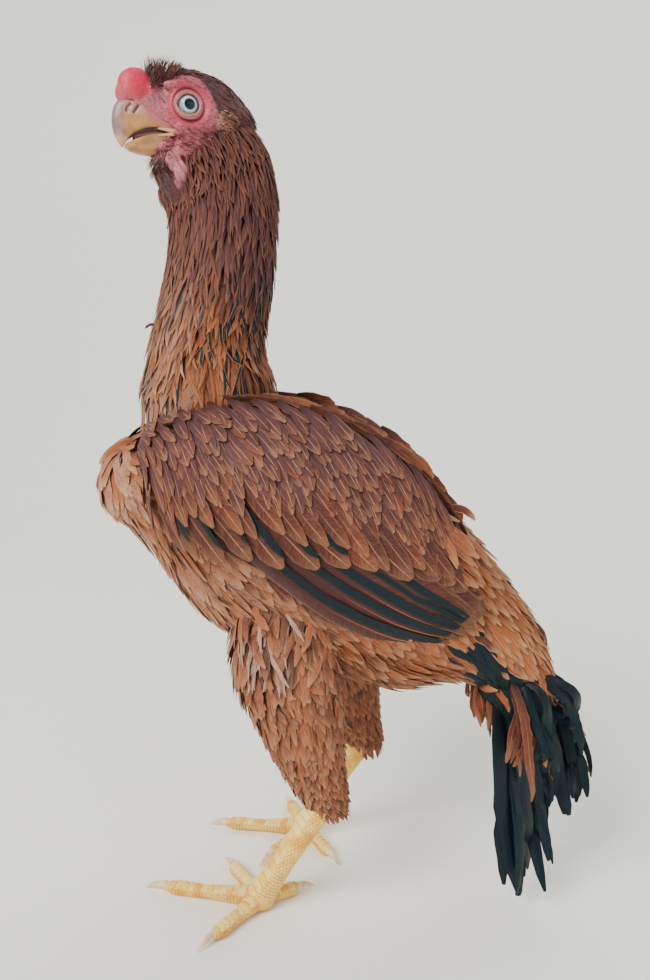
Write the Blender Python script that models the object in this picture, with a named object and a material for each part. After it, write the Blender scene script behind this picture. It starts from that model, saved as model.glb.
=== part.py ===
"""A life-size aseel hen, standing upright, as a museum would show her.

She faces -X, +Y is her right side and +Z is up. The floor is z = 0.
Sizes are in millimetres and become metres where a mesh is made. Angles are in degrees.
"""

import math

import bmesh
import bpy
import numpy as np
from mathutils import Euler, Matrix, Vector

MM = 0.001
GAP = 0.3  # between two pieces that touch
FLOOR_CUT_DEPTH = 40.0
SEED = 7

# A station of a loft is (x, y, z, half height up, half height down, half width).
# Up is square to the loft's line, in her upright plane: on the neck it points forward.
TORSO = (
    (-131.0, 0.0, 294.0, 10.0, 10.0, 12.0),  # front of the crop
    (-122.0, 0.0, 294.0, 23.0, 22.0, 31.0),
    (-104.0, 0.0, 291.0, 40.0, 36.0, 49.0),  # breast
    (-70.0, 0.0, 281.0, 60.0, 52.0, 61.0),  # shoulders
    (-28.0, 0.0, 262.0, 82.0, 72.0, 67.0),  # widest
    (15.0, 0.0, 242.0, 82.0, 75.0, 66.0),
    (60.0, 0.0, 222.0, 74.0, 67.0, 58.0),  # loin
    (100.0, 0.0, 203.0, 61.0, 58.0, 47.0),
    (132.0, 0.0, 186.0, 45.0, 30.0, 36.0),  # rump
    (156.0, 0.0, 171.0, 31.0, 20.0, 26.0),
    (173.0, 0.0, 158.0, 18.0, 11.0, 16.0),
    (183.0, 0.0, 149.0, 6.0, 5.0, 6.0),  # tips of the saddle
)
BREAST_LOBE = ((-99.0, 27.0, 289.0), (31.0, 24.0, 31.0))  # middle and half sizes, one each side
NECK = (
    (-66.0, 0.0, 318.0, 40.0, 50.0, 44.0),  # sunk in the shoulders
    (-62.0, 0.0, 346.0, 46.0, 47.0, 42.0),
    (-63.0, 0.0, 372.0, 41.0, 40.0, 36.0),
    (-61.0, 0.0, 396.0, 37.0, 37.0, 32.0),
    (-57.0, 0.0, 422.0, 36.0, 36.0, 30.0),
    (-55.0, 0.0, 448.0, 36.0, 36.0, 30.0),
    (-56.0, 0.0, 472.0, 37.0, 37.0, 29.0),
    (-62.0, -1.0, 492.0, 40.0, 38.0, 24.0),  # throat
    (-70.0, -2.0, 510.0, 34.0, 34.0, 21.0),  # sunk in the head
)

# The head is made facing -X round its own middle, then turned and set on the neck.
HEAD_PLACE = (-75.0, -4.0, 526.0)
HEAD_YAW = 27.0  # towards her left side
HEAD_PITCH = 7.0  # beak down
HEAD = (
    (36.0, 0.0, -17.0, 5.0, 7.0, 7.0),  # nape
    (31.0, 0.0, -14.0, 11.0, 14.0, 15.0),
    (22.0, 0.0, -8.0, 18.0, 21.0, 19.0),
    (8.0, 0.0, -2.0, 25.5, 27.0, 20.0),
    (-8.0, 0.0, 1.0, 26.0, 28.0, 18.5),  # eyes
    (-20.0, 0.0, 1.0, 23.0, 24.0, 15.5),
    (-31.0, 0.0, 0.0, 18.0, 18.0, 12.0),  # root of the beak
    (-38.0, 0.0, -1.0, 10.0, 11.0, 7.5),
)
BEAK_UPPER = (
    (-20.0, 0.0, -3.5, 10.0, 10.0, 9.5),
    (-33.0, 0.0, -3.5, 10.5, 10.5, 9.0),
    (-42.0, 0.0, -4.5, 10.5, 9.5, 7.6),
    (-48.5, 0.0, -8.0, 8.0, 7.5, 5.4),
    (-51.0, 0.0, -14.0, 5.0, 4.5, 3.4),
    (-49.5, 0.0, -20.0, 1.6, 1.6, 1.3),  # tip, hooked over the lower beak
)
BEAK_LOWER = (
    (-12.0, 0.0, -20.5, 4.0, 6.0, 9.0),
    (-26.0, 0.0, -22.0, 4.2, 6.0, 8.0),
    (-35.5, 0.0, -23.0, 4.0, 5.4, 6.2),
    (-42.5, 0.0, -22.0, 3.0, 4.0, 4.2),
    (-47.0, 0.0, -20.5, 1.2, 1.5, 1.6),
)
NOSTRIL = ((-40.5, 7.6, 0.5), (3.4, 1.7, 1.5))  # middle and half sizes
EYE_PLACE = (-9.0, 12.3, 3.0)
EYE_RADIUS = 7.6
LID_RINGS = ((6.9, 1.9, 5.0, 14), (10.4, 1.3, 3.4, 12))  # radius, half thickness, place out from the eye, sides
COMB_BULBS = (  # x, y, z, radius
    (-38.0, 0.0, 17.0, 9.8),
    (-27.5, 0.0, 21.0, 6.8),
    (-47.0, 0.0, 9.5, 6.4),
    (-33.5, 6.4, 15.0, 6.6),
    (-42.5, 5.6, 10.0, 5.6),
    (-33.5, -6.4, 15.0, 6.6),
    (-42.5, -5.6, 10.0, 5.6),
)
EAR = ((16.0, 19.0, -9.5), (6.6, 4.6, 8.2))
WATTLE_FOLDS = (  # middle and half sizes of the folds of bare skin under the jaw
    ((-15.0, 18.0, -32.0), (8.5, 5.0, 7.5)),
    ((-10.0, 19.0, -39.0), (6.0, 4.6, 8.0)),
)

# The wing is a sheet between an upper and a lower edge. A station is
# (x, y, z of the middle line, half depth, how far the sheet's middle stands out).
WING = (
    (-95.0, 52.0, 309.0, 10.0, 5.0),
    (-82.0, 56.0, 311.0, 26.0, 12.0),  # wrist
    (-48.0, 60.0, 303.0, 45.0, 16.0),
    (2.0, 61.0, 287.0, 55.0, 17.0),
    (48.0, 56.0, 267.0, 52.0, 15.0),
    (88.0, 47.0, 243.0, 38.0, 12.0),
    (112.0, 40.0, 228.0, 23.0, 9.0),
    (124.0, 37.0, 220.0, 12.0, 6.0),
)
WING_ROUND = 0.45  # share of the standing out that is lost at the sheet's edges
WING_LEAN_IN = 22.0  # how far the upper edge leans in over the back
WING_CORE_END = 6.3  # the core stops here, counted in stations, and only vanes go on
WING_INNER = 24.0  # how deep the core starts inside the torso, which is then cut away
WING_CORE_SUNK = 1.6  # the core's outer face under the sheet

# A tier of vanes: how many, root from and to, tip from and to as (station, height share), half width,
# lift at root and tip, tilt. The first vane of a tier lies lowest, and the next ones lie over it.
WING_TIERS = (
    ("primaries", 3, (3.6, -0.62), (3.9, -0.40), (6.1, -1.35), (7.2, -0.75), 7.5, (-1.6, 0.2), 0.5),
    ("secondaries", 5, (2.0, -0.35), (3.9, 0.46), (4.4, -1.02), (7.3, 0.62), 12.5, (-1.6, 1.6), 0.8),
    ("greater coverts", 6, (1.1, -0.30), (4.6, 0.48), (2.2, -0.98), (6.1, 0.40), 12.0, (-1.2, 3.0), 0.8),
    ("median coverts", 4, (0.9, 0.20), (4.1, 0.54), (1.9, -0.52), (5.2, 0.24), 14.0, (-1.0, 3.8), 0.7),
    ("lesser coverts", 3, (0.8, 0.50), (3.1, 0.58), (1.6, 0.00), (4.2, 0.42), 14.0, (-0.8, 4.4), 0.6),
)
VANE_THICKNESS = 1.1
# Along a vane: share of its length, share of its half width, share of its thickness.
FLIGHT_SHAPE = ((0.0, 0.55, 1.0), (0.45, 1.0, 1.0), (0.84, 0.92, 0.9), (1.0, 0.3, 0.5))
COVERT_SHAPE = ((0.0, 0.7, 1.0), (0.78, 0.95, 0.9), (1.0, 0.3, 0.5))

# The tail hangs, and leans a little to her left. Its core, then its vanes, all on their own curves.
TAIL_CORE = (
    (126.0, -1.0, 176.0, 10.0, 10.0, 12.0),
    (146.0, -3.0, 167.0, 20.0, 22.0, 19.0),
    (164.0, -6.0, 149.0, 19.0, 20.0, 15.0),
    (176.0, -9.0, 126.0, 13.0, 13.0, 9.0),
    (182.0, -10.0, 106.0, 5.0, 5.0, 4.0),
)
TAIL_VANES = (  # root, bend and tip, then the half width
    ((146, -12, 170), (159, -22, 95), (174, -25, 12), 12.0),
    ((152, -8, 168), (176, -14, 100), (193, -14, 33), 9.0),
    ((158, -2, 166), (186, -4, 118), (203, -3, 66), 12.0),
    ((162, 2, 164), (200, 2, 126), (220, 2, 78), 8.0),
    ((166, -6, 166), (196, -10, 150), (207, -10, 115), 8.5),
    ((148, 4, 170), (166, 8, 100), (178, 8, 28), 11.0),
    ((154, 6, 168), (180, 12, 108), (196, 12, 50), 10.0),
    ((160, 8, 166), (192, 16, 122), (210, 17, 74), 10.0),
    ((150, -16, 172), (164, -26, 138), (169, -29, 104), 9.0),
    ((158, -14, 170), (176, -23, 142), (183, -25, 110), 9.0),
    ((152, 12, 172), (168, 20, 138), (175, 22, 100), 9.5),
    ((162, 10, 170), (184, 17, 146), (194, 18, 112), 9.0),
    ((132, -9, 172), (136, -14, 152), (141, -15, 130), 9.0),
    ((134, 7, 172), (140, 10, 150), (146, 10, 126), 9.0),
)
TAIL_TILT = 0.35  # share of its half width by which a vane's rear edge leans outwards

# Legs. The right leg stands a little further back than the left.
LEG_SETBACK = {"left": 0.0, "right": 22.0}
THIGH = (  # for her right side, before the leg's setback
    (0.0, 34.0, 240.0, 20.0, 20.0, 16.0),  # sunk in the torso
    (2.0, 39.0, 205.0, 30.0, 30.0, 21.0),
    (6.0, 44.0, 172.0, 34.0, 33.0, 25.0),
    (14.0, 46.0, 143.0, 29.0, 29.0, 23.0),
    (24.0, 47.0, 113.0, 22.0, 22.0, 18.0),
    (33.0, 47.0, 91.0, 15.0, 16.0, 14.0),
    (38.0, 47.0, 79.0, 9.0, 10.0, 9.0),
)
HOCK = (39.0, 47.0, 92.0)
FOOT_PLACE = {"left": (-7.0, -46.0), "right": (15.0, 43.0)}
FOOT_HEIGHT = 9.0
SHANK_SHAPE = ((0.0, 9.8), (0.15, 9.0), (0.4, 7.8), (0.7, 7.8), (0.9, 8.8), (1.0, 9.4))  # share, radius
SHANK_SCUTES = 8
PAD_SIZE = (10.0, 10.0, 9.0)
PAD_LIFT = 7.5
TOE_SHAPE = ((0.0, 6.2), (0.3, 5.4), (0.6, 4.9), (0.85, 4.7), (1.0, 3.2))
TOE_HEIGHT = ((0.0, 7.4), (0.3, 6.2), (0.6, 4.9), (0.85, 4.5), (1.0, 4.2))
SCUTE_STEP = 0.7  # how far a scute's lower edge stands up
# Each toe: direction from straight ahead, positive towards her right, its length without the claw, its scutes.
TOES = {
    "left": {
        "middle": (5.0, 69.0, 8),
        "inner": (54.0, 45.0, 4),
        "outer": (-57.0, 46.0, 5),
        "hind": (143.0, 30.0, 3),
    },
    "right": {
        "middle": (1.0, 64.0, 7),
        "inner": (-58.0, 42.0, 4),
        "outer": (66.0, 41.0, 4),
        "hind": (-128.0, 34.0, 3),
    },
}
TOE_PADS = 3
CLAW_LENGTH = 14.0
CLAW_SHAPE = ((-0.25, 2.5, 0.6), (0.0, 2.8, 0.7), (0.35, 2.4, 0.3), (0.7, 1.4, -1.1), (1.0, 0.4, -3.2))

COLOURS = {  # slot: base colour, roughness
    "brown_feather": ((0.33, 0.15, 0.08), 0.6),
    "dark_feather": ((0.02, 0.03, 0.04), 0.4),
    "face_skin": ((0.62, 0.12, 0.13), 0.55),
    "horn": ((0.72, 0.58, 0.38), 0.4),
    "leg_scale": ((0.80, 0.60, 0.28), 0.5),
    "eye": ((0.75, 0.80, 0.82), 0.1),
}

scene = bpy.context.scene
for old in list(bpy.data.objects):
    bpy.data.objects.remove(old)
hen = bpy.data.collections.new("aseel_hen")
cutters = bpy.data.collections.new("cutters")
scene.collection.children.link(hen)
scene.collection.children.link(cutters)
rng = np.random.default_rng(SEED)


def material(slot):
    """The slot's Principled material, made once."""
    found = bpy.data.materials.get(slot)
    if found:
        return found
    colour, roughness = COLOURS[slot]
    made = bpy.data.materials.new(slot)
    made.use_nodes = True
    shader = made.node_tree.nodes["Principled BSDF"]
    shader.inputs["Base Color"].default_value = (*colour, 1.0)
    shader.inputs["Roughness"].default_value = roughness
    shader.inputs["Metallic"].default_value = 0.0
    return made


def new_object(name, mesh, slot=None, collection=hen):
    """A piece of the hen with its material, or a hidden helper in another collection."""
    obj = bpy.data.objects.new(name, mesh)
    collection.objects.link(obj)
    if collection is hen:
        mesh.materials.append(material(slot))
    else:
        obj.hide_render = True
        obj.display_type = "WIRE"
    return obj


def helper_collection(name):
    made = bpy.data.collections.new(name)
    cutters.children.link(made)
    return made


def boolean(obj, operation, other):
    """Applies one Boolean with an object or a collection, then removes what it used."""
    modifier = obj.modifiers.new(operation.lower(), "BOOLEAN")
    modifier.operation = operation
    modifier.solver = "EXACT"
    used = [other]
    if isinstance(other, bpy.types.Collection):
        modifier.operand_type = "COLLECTION"
        modifier.collection = other
        used = list(other.objects)
    else:
        modifier.object = other
    graph = bpy.context.evaluated_depsgraph_get()
    mesh = bpy.data.meshes.new_from_object(obj.evaluated_get(graph))
    obj.modifiers.clear()
    obj.data = mesh
    for piece in used:
        bpy.data.objects.remove(piece)
    return obj


def connected(start, waiting):
    """The corners joined to start by edges, taken out of the set that waits."""
    group, front = {start}, [start]
    while front:
        for edge in front.pop().link_edges:
            for vert in edge.verts:
                if vert in waiting:
                    waiting.remove(vert)
                    group.add(vert)
                    front.append(vert)
    return group


def enclosed(group):
    """Three times the volume inside the faces of a group of corners."""
    faces = {face for vert in group for face in vert.link_faces}
    return abs(sum(face.calc_center_median().dot(face.normal) * face.calc_area() for face in faces))


def keep_largest(obj):
    """Keeps the closed surface with the most volume, and drops the others."""
    shape = bmesh.new()
    shape.from_mesh(obj.data)
    waiting = set(shape.verts)
    groups = []
    while waiting:
        groups.append(connected(waiting.pop(), waiting))
    largest = max(groups, key=enclosed)
    bmesh.ops.delete(shape, geom=[vert for vert in shape.verts if vert not in largest], context="VERTS")
    shape.to_mesh(obj.data)
    shape.free()
    return obj


def outward_mesh(name, points, faces):
    """A closed mesh from points in millimetres, with its faces turned outwards.

    Quads are split on the same corners each time, so that a piece and its grown copy stay a gap apart.
    """
    mesh = bpy.data.meshes.new(name)
    mesh.from_pydata([tuple(point * MM) for point in points], [], faces)
    shape = bmesh.new()
    shape.from_mesh(mesh)
    quads = [face for face in shape.faces if len(face.verts) == 4]
    bmesh.ops.triangulate(shape, faces=quads, quad_method="FIXED")
    bmesh.ops.recalc_face_normals(shape, faces=shape.faces)
    shape.to_mesh(mesh)
    shape.free()
    return mesh


def ring_faces(rings, around):
    """Quads between rings of so many points each, and a cap at either end."""
    faces = [
        (k * around + i, k * around + (i + 1) % around, (k + 1) * around + (i + 1) % around, (k + 1) * around + i)
        for k in range(rings - 1)
        for i in range(around)
    ]
    faces.append(tuple(reversed(range(around))))
    faces.append(tuple((rings - 1) * around + i for i in range(around)))
    return faces


def smooth_at(stations, places):
    """A Catmull-Rom curve through the rows, read at places counted in rows, and straight on past the ends."""
    rows = np.array(stations, float)
    padded = np.vstack([2 * rows[0] - rows[1], rows, 2 * rows[-1] - rows[-2]])
    places = np.atleast_1d(places).astype(float)
    k = np.clip(np.floor(places).astype(int), 0, len(rows) - 2)
    t = np.clip(places, 0, len(rows) - 1)[:, None] - k[:, None]
    before, start, end, after = (padded[k + shift] for shift in range(4))
    curve = 2 * start + (end - before) * t
    curve += (2 * before - 5 * start + 4 * end - after) * t**2
    curve += (3 * start - before - 3 * end + after) * t**3
    beyond = (places - np.clip(places, 0, len(rows) - 1))[:, None]
    return curve / 2 + beyond * (rows[-1] - rows[-2])


def unit(vectors):
    return vectors / np.linalg.norm(vectors, axis=-1, keepdims=True)


def loft(name, stations, slot=None, steps=2, around=20, grow=0.0, side=1.0, collection=hen):
    """Oval rings along the stations. Grow adds to every half size, and to the length at both ends."""
    places = np.linspace(0, len(stations) - 1, (len(stations) - 1) * steps + 1)
    rows = smooth_at(stations, places)
    middles = rows[:, :3] * [1, side, 1]
    ahead = unit(np.gradient(middles, axis=0))
    middles[0] -= ahead[0] * grow
    middles[-1] += ahead[-1] * grow
    up = unit(np.cross(ahead, [0.0, 1.0, 0.0]))
    beside = np.cross(up, ahead)
    turn = np.arange(around) * 2 * math.pi / around
    half = np.where(np.sin(turn) > 0, rows[:, 3:4], rows[:, 4:5]) + grow
    points = middles[:, None] + (half * np.sin(turn))[..., None] * up[:, None]
    points += ((rows[:, 5:6] + grow) * np.cos(turn))[..., None] * beside[:, None]
    mesh = outward_mesh(name, points.reshape(-1, 3), ring_faces(len(rows), around))
    return new_object(name, mesh, slot, collection)


def ball(name, place, size, slot=None, segments=16, rings=10, grow=0.0, collection=hen):
    """An ellipsoid from a UV sphere."""
    shape = bmesh.new()
    bmesh.ops.create_uvsphere(shape, u_segments=segments, v_segments=rings, radius=1.0)
    scale = Matrix.Diagonal([(half + grow) * MM for half in size] + [1.0])
    bmesh.ops.transform(shape, matrix=Matrix.Translation(Vector(place) * MM) @ scale, verts=shape.verts)
    mesh = bpy.data.meshes.new(name)
    shape.to_mesh(mesh)
    shape.free()
    return new_object(name, mesh, slot, collection)


def mirrored(place, side):
    return (place[0], side * place[1], place[2])


def limb(name, line, radii, dorsal, scutes, slot=None, sides=10, grow=0.0, collection=hen):
    """A shank or toe: a tube along a line, with scutes stepping down its upper side and pads beneath.

    Line gives the points at shares of the length, radii the same, and dorsal the scutes' side. Each scute
    has a ring where it starts, at the tube's own radius, and one just before the next, raised by a step.
    """
    starts = np.arange(scutes) / scutes
    shares = np.concatenate([starts, starts + 0.9 / scutes, [1.0]])
    raised = np.concatenate([starts * 0, starts * 0 + 1, [0.0]])[np.argsort(shares)]
    shares = np.sort(shares)
    middles = line(shares)
    ahead = unit(np.gradient(middles, axis=0))
    dorsal = np.array(dorsal, float)
    up = unit(dorsal - (ahead @ dorsal)[:, None] * ahead)
    beside = np.cross(ahead, up)
    middles[0] -= ahead[0] * grow
    middles[-1] += ahead[-1] * grow
    turn = np.arange(sides) * 2 * math.pi / sides
    size = radii(shares)[:, None] + grow + raised[:, None] * SCUTE_STEP * np.clip(np.sin(turn) + 0.3, 0, 1)
    pads = np.sin(shares * math.pi * TOE_PADS)[:, None] ** 2 * np.clip(-np.sin(turn), 0, 1)
    size = size + pads * SCUTE_STEP
    points = middles[:, None] + (size * np.sin(turn))[..., None] * up[:, None]
    points += (size * np.cos(turn))[..., None] * beside[:, None]
    mesh = outward_mesh(name, points.reshape(-1, 3), ring_faces(len(shares), sides))
    return new_object(name, mesh, slot, collection)


def table(rows, column=1):
    """A function that reads one column of a table of rows at shares of a length."""
    rows = np.array(rows, float)
    return lambda shares: np.interp(shares, rows[:, 0], rows[:, column])


def vane(name, line, normals, shape, half_width, lean, collection):
    """A feather's vane along a line of points, one for each row of its shape.

    Each point has a left edge, a shaft line and a right edge on the outer face, and the same on the inner
    face. Lean lifts the left edge off the surface and lowers the right one. Both faces are split alike.
    """
    shape = np.array(shape)
    thickness = VANE_THICKNESS * shape[:, 2]
    across = unit(np.cross(np.gradient(line, axis=0), normals))
    rows = []
    for share, crown in ((-1.0, 0.0), (0.0, 0.35), (1.0, 0.0)):
        rise = thickness / 2 + crown - share * lean
        reach = share * half_width * shape[:, 1]
        rows.append(line + across * reach[:, None] + normals * rise[:, None])
    outer = np.stack(rows, axis=1)
    inner = outer - normals[:, None] * thickness[:, None, None]
    points = np.concatenate([outer, inner], axis=1).reshape(-1, 3)
    faces = []
    for k in range(len(line) - 1):
        for low, shift in ((0, 1), (1, 1), (3, 1), (4, 1), (0, 3), (2, 3)):
            a, b = k * 6 + low, k * 6 + low + shift
            faces += [(a, b, b + 6), (a, b + 6, a + 6)]
    last = (len(line) - 1) * 6
    for first in (0, last):
        faces += [(first, first + 1, first + 4, first + 3), (first + 1, first + 2, first + 5, first + 4)]
    return new_object(name, outward_mesh(name, points, faces), collection=collection)


def in_head(obj):
    """Turns a piece made round the head's middle, and sets it where the head is."""
    turn = Euler((0.0, -math.radians(HEAD_PITCH), math.radians(HEAD_YAW))).to_matrix().to_4x4()
    obj.data.transform(Matrix.Translation(Vector(HEAD_PLACE) * MM) @ turn)
    return obj


def cut_by(obj, *grown):
    """Cuts an object clear of the grown copies of its neighbours."""
    for cutter in grown:
        boolean(obj, "DIFFERENCE", cutter)
    return keep_largest(obj)


def grown_loft(stations, around=20, side=1.0):
    return loft("cutter", stations, around=around, grow=GAP, side=side, collection=cutters)


def grown_torso():
    return grown_loft(TORSO)


def grown_lobe(side):
    place, size = BREAST_LOBE
    return ball("cutter", mirrored(place, side), size, segments=12, rings=8, grow=GAP, collection=cutters)


def make_torso():
    torso = loft("torso", TORSO, "brown_feather")
    lobes = helper_collection("lobes")
    place, size = BREAST_LOBE
    for side in (-1, 1):
        ball("lobe", mirrored(place, side), size, segments=12, rings=8, collection=lobes)
    boolean(torso, "UNION", lobes)
    return keep_largest(torso)


def make_neck():
    neck = loft("neck", NECK, "brown_feather", around=18)
    cut_by(neck, grown_torso(), in_head(grown_loft(HEAD, around=16)), in_head(grown_loft(BEAK_LOWER, around=12)))
    for side in (-1, 1):
        cut_by(neck, grown_lobe(side))
        for bulb, half in (EAR, *WATTLE_FOLDS):
            bulb = mirrored(bulb, side)
            cut_by(neck, in_head(ball("cutter", bulb, half, segments=10, rings=6, grow=GAP, collection=cutters)))


def lid_ring(place, side, ring):
    """One fold of the lids: a torus round the eye, on its outer side."""
    radius, half, out, sides = ring
    bpy.ops.mesh.primitive_torus_add(
        major_radius=radius * MM,
        minor_radius=half * MM,
        major_segments=sides,
        minor_segments=5,
        location=Vector((place[0], place[1] + side * out, place[2])) * MM,
        rotation=(math.radians(90), 0, math.radians(-side * 12)),
    )
    fold = bpy.context.object
    mesh = fold.data
    mesh.transform(fold.matrix_world)
    bpy.data.objects.remove(fold)
    return mesh


def make_head():
    head = loft("head", HEAD, "face_skin", around=16)
    folds = helper_collection("lids")
    for side, word in ((-1, "left"), (1, "right")):
        place = mirrored(EYE_PLACE, side)
        for ring in LID_RINGS:
            new_object("lid", lid_ring(place, side, ring), collection=folds)
        in_head(ball("eye_" + word, place, (EYE_RADIUS,) * 3, "eye", segments=12, rings=8))
    boolean(head, "UNION", folds)
    for side in (-1, 1):
        place = mirrored(EYE_PLACE, side)
        cut_by(head, ball("socket", place, (EYE_RADIUS,) * 3, segments=12, rings=8, grow=GAP, collection=cutters))
    in_head(head)


def make_beak():
    upper = loft("beak_upper", BEAK_UPPER, "horn", around=14)
    place, size = NOSTRIL
    for side in (-1, 1):
        cut_by(upper, ball("nostril", mirrored(place, side), size, segments=10, rings=6, collection=cutters))
    cut_by(upper, grown_loft(HEAD, around=16))
    lower = loft("beak_lower", BEAK_LOWER, "horn", around=12)
    cut_by(lower, grown_loft(HEAD, around=16), grown_loft(BEAK_UPPER, around=14))
    in_head(upper)
    in_head(lower)


def make_comb():
    first, *others = COMB_BULBS
    comb = ball("comb", first[:3], (first[3],) * 3, "face_skin", segments=12, rings=7)
    bulbs = helper_collection("bulbs")
    for x, y, z, radius in others:
        ball("bulb", (x, y, z), (radius,) * 3, segments=9, rings=6, collection=bulbs)
    boolean(comb, "UNION", bulbs)
    in_head(cut_by(comb, grown_loft(HEAD, around=16), grown_loft(BEAK_UPPER, around=14)))


def make_ear_and_wattle(side, word):
    place, size = EAR
    ear = ball("ear_" + word, mirrored(place, side), size, "face_skin", segments=10, rings=6)
    in_head(cut_by(ear, grown_loft(HEAD, around=16)))
    (place, size), *others = WATTLE_FOLDS
    wattle = ball("wattle_" + word, mirrored(place, side), size, "face_skin", segments=10, rings=6)
    folds = helper_collection("folds")
    for place, size in others:
        ball("fold", mirrored(place, side), size, segments=10, rings=6, collection=folds)
    boolean(wattle, "UNION", folds)
    in_head(cut_by(wattle, grown_loft(HEAD, around=16), grown_loft(BEAK_LOWER, around=12)))


def wing_sheet(places, heights):
    """Points of the wing's outer sheet and the ways out of it, on her right side.

    Places count the stations from the wrist, and heights run from -1 at the lower edge to 1 at the upper.
    """
    rows = smooth_at(WING, places)
    behind, before = (smooth_at(WING, np.atleast_1d(places) + step)[:, :3] for step in (0.05, -0.05))
    ahead = unit(behind - before)
    across = unit(np.cross(ahead, [0.0, 1.0, 0.0]))
    upper = np.clip(heights, 0, 2)
    points = rows[:, :3] + across * (heights * rows[:, 3])[:, None]
    points[:, 1] += rows[:, 4] * (1 - WING_ROUND * heights**2) - WING_LEAN_IN * upper**2
    slope = 2 * (WING_ROUND * heights * rows[:, 4] + WING_LEAN_IN * upper) / rows[:, 3]
    normals = unit(np.cross(across, ahead) + across * slope[:, None])
    return points, normals


def wing_core(name, slot=None, side=1.0, collection=hen):
    """The wing without its vanes: the sheet from above, and a flat inner face that starts in the torso."""
    places = np.linspace(0, WING_CORE_END, 8)
    heights = np.linspace(-0.92, 0.86, 5)
    rings = []
    for place in places:
        outer, normals = wing_sheet(np.full(5, place), heights)
        outer = outer - normals * WING_CORE_SUNK
        inner = outer[[4, 0]] - [0.0, WING_INNER, 0.0]
        rings.append(np.vstack([outer, inner]))
    points = np.concatenate(rings) * [1, side, 1]
    return new_object(name, outward_mesh(name, points, ring_faces(len(places), 7)), slot, collection)


def wing_vane(tier, share, side, collection):
    """One vane of a tier, at its share of the way from the tier's first vane to its last."""
    word, _, root_from, root_to, tip_from, tip_to, half_width, lifts, lean = tier
    shape = FLIGHT_SHAPE if word in ("primaries", "secondaries") else COVERT_SHAPE
    along = np.array(shape)[:, 0]
    wander = rng.uniform(-0.06, 0.06, 2)
    root = np.array(root_from) + (np.array(root_to) - root_from) * share
    tip = np.array(tip_from) + (np.array(tip_to) - tip_from) * share + wander
    path = root + (tip - root) * along[:, None]
    line, normals = wing_sheet(path[:, 0], path[:, 1])
    lift = lifts[0] + (lifts[1] - lifts[0]) * along
    line = (line + normals * lift[:, None]) * [1, side, 1]
    return vane(word, line, normals * [1, side, 1], shape, half_width, -side * lean, collection)


def make_wing(side, word):
    wing = wing_core("wing_" + word, "brown_feather", side=side)
    vanes = helper_collection("vanes")
    for tier in WING_TIERS:
        for share in np.linspace(0, 1, tier[1]):
            wing_vane(tier, share, side, vanes)
    boolean(wing, "UNION", vanes)
    cut_by(wing, grown_torso(), grown_lobe(side), grown_loft(NECK, around=18), grown_thigh(word))


def bend(root, middle, tip, shares):
    """A curve that leaves the root towards the bend, and comes to the tip from it."""
    root, middle, tip = (np.array(place, float) for place in (root, middle, tip))
    pull = 2 * middle - (root + tip) / 2
    t = shares[:, None]
    return root * (1 - t) ** 2 + pull * 2 * t * (1 - t) + tip * t**2


def make_tail():
    tail = loft("tail", TAIL_CORE, "dark_feather", around=12)
    vanes = helper_collection("tail_vanes")
    shares = np.array(FLIGHT_SHAPE)[:, 0]
    for root, middle, tip, half_width in TAIL_VANES:
        line = bend(root, middle, tip, shares)
        side = math.copysign(1.0, middle[1])
        ahead = unit(np.gradient(line, axis=0))
        normals = np.tile([TAIL_TILT, side, 0.0], (len(line), 1))
        normals = unit(normals - (normals * ahead).sum(axis=1, keepdims=True) * ahead)
        vane("tail_vane", line, normals, FLIGHT_SHAPE, half_width, 0.3 * side, vanes)
    boolean(tail, "UNION", vanes)
    cut_by(tail, grown_torso())


def thigh_stations(word):
    return [(x + LEG_SETBACK[word], *rest) for x, *rest in THIGH]


def side_of(word):
    return -1.0 if word == "left" else 1.0


def grown_thigh(word):
    return grown_loft(thigh_stations(word), side=side_of(word))


def shank_ends(word):
    hock = np.array([HOCK[0] + LEG_SETBACK[word], side_of(word) * HOCK[1], HOCK[2]])
    foot = np.array([*FOOT_PLACE[word], FOOT_HEIGHT])
    return hock, foot


def shank(word, name, slot=None, grow=0.0, collection=hen):
    hock, foot = shank_ends(word)

    def line(shares):
        return hock + (foot - hock) * shares[:, None]

    return limb(name, line, table(SHANK_SHAPE), (-1, 0, 0), SHANK_SCUTES, slot, 10, grow, collection)


def foot_pad(word, name, grow=0.0, collection=cutters):
    _, foot = shank_ends(word)
    return ball(name, (foot[0], foot[1], PAD_LIFT), PAD_SIZE, segments=16, rings=8, grow=grow, collection=collection)


def toe_ahead(word, toe_name):
    angle = math.radians(TOES[word][toe_name][0])
    return np.array([-math.cos(angle), math.sin(angle), 0.0])


def toe(word, toe_name, name, slot=None, grow=0.0, collection=hen):
    _, length, scutes = TOES[word][toe_name]
    foot = np.array([*FOOT_PLACE[word], 0.0])
    height = table(TOE_HEIGHT)

    def line(shares):
        return foot + toe_ahead(word, toe_name) * length * shares[:, None] + [[0, 0, z] for z in height(shares)]

    return limb(name, line, table(TOE_SHAPE), (0, 0, 1), scutes, slot, 8, grow, collection)


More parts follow.
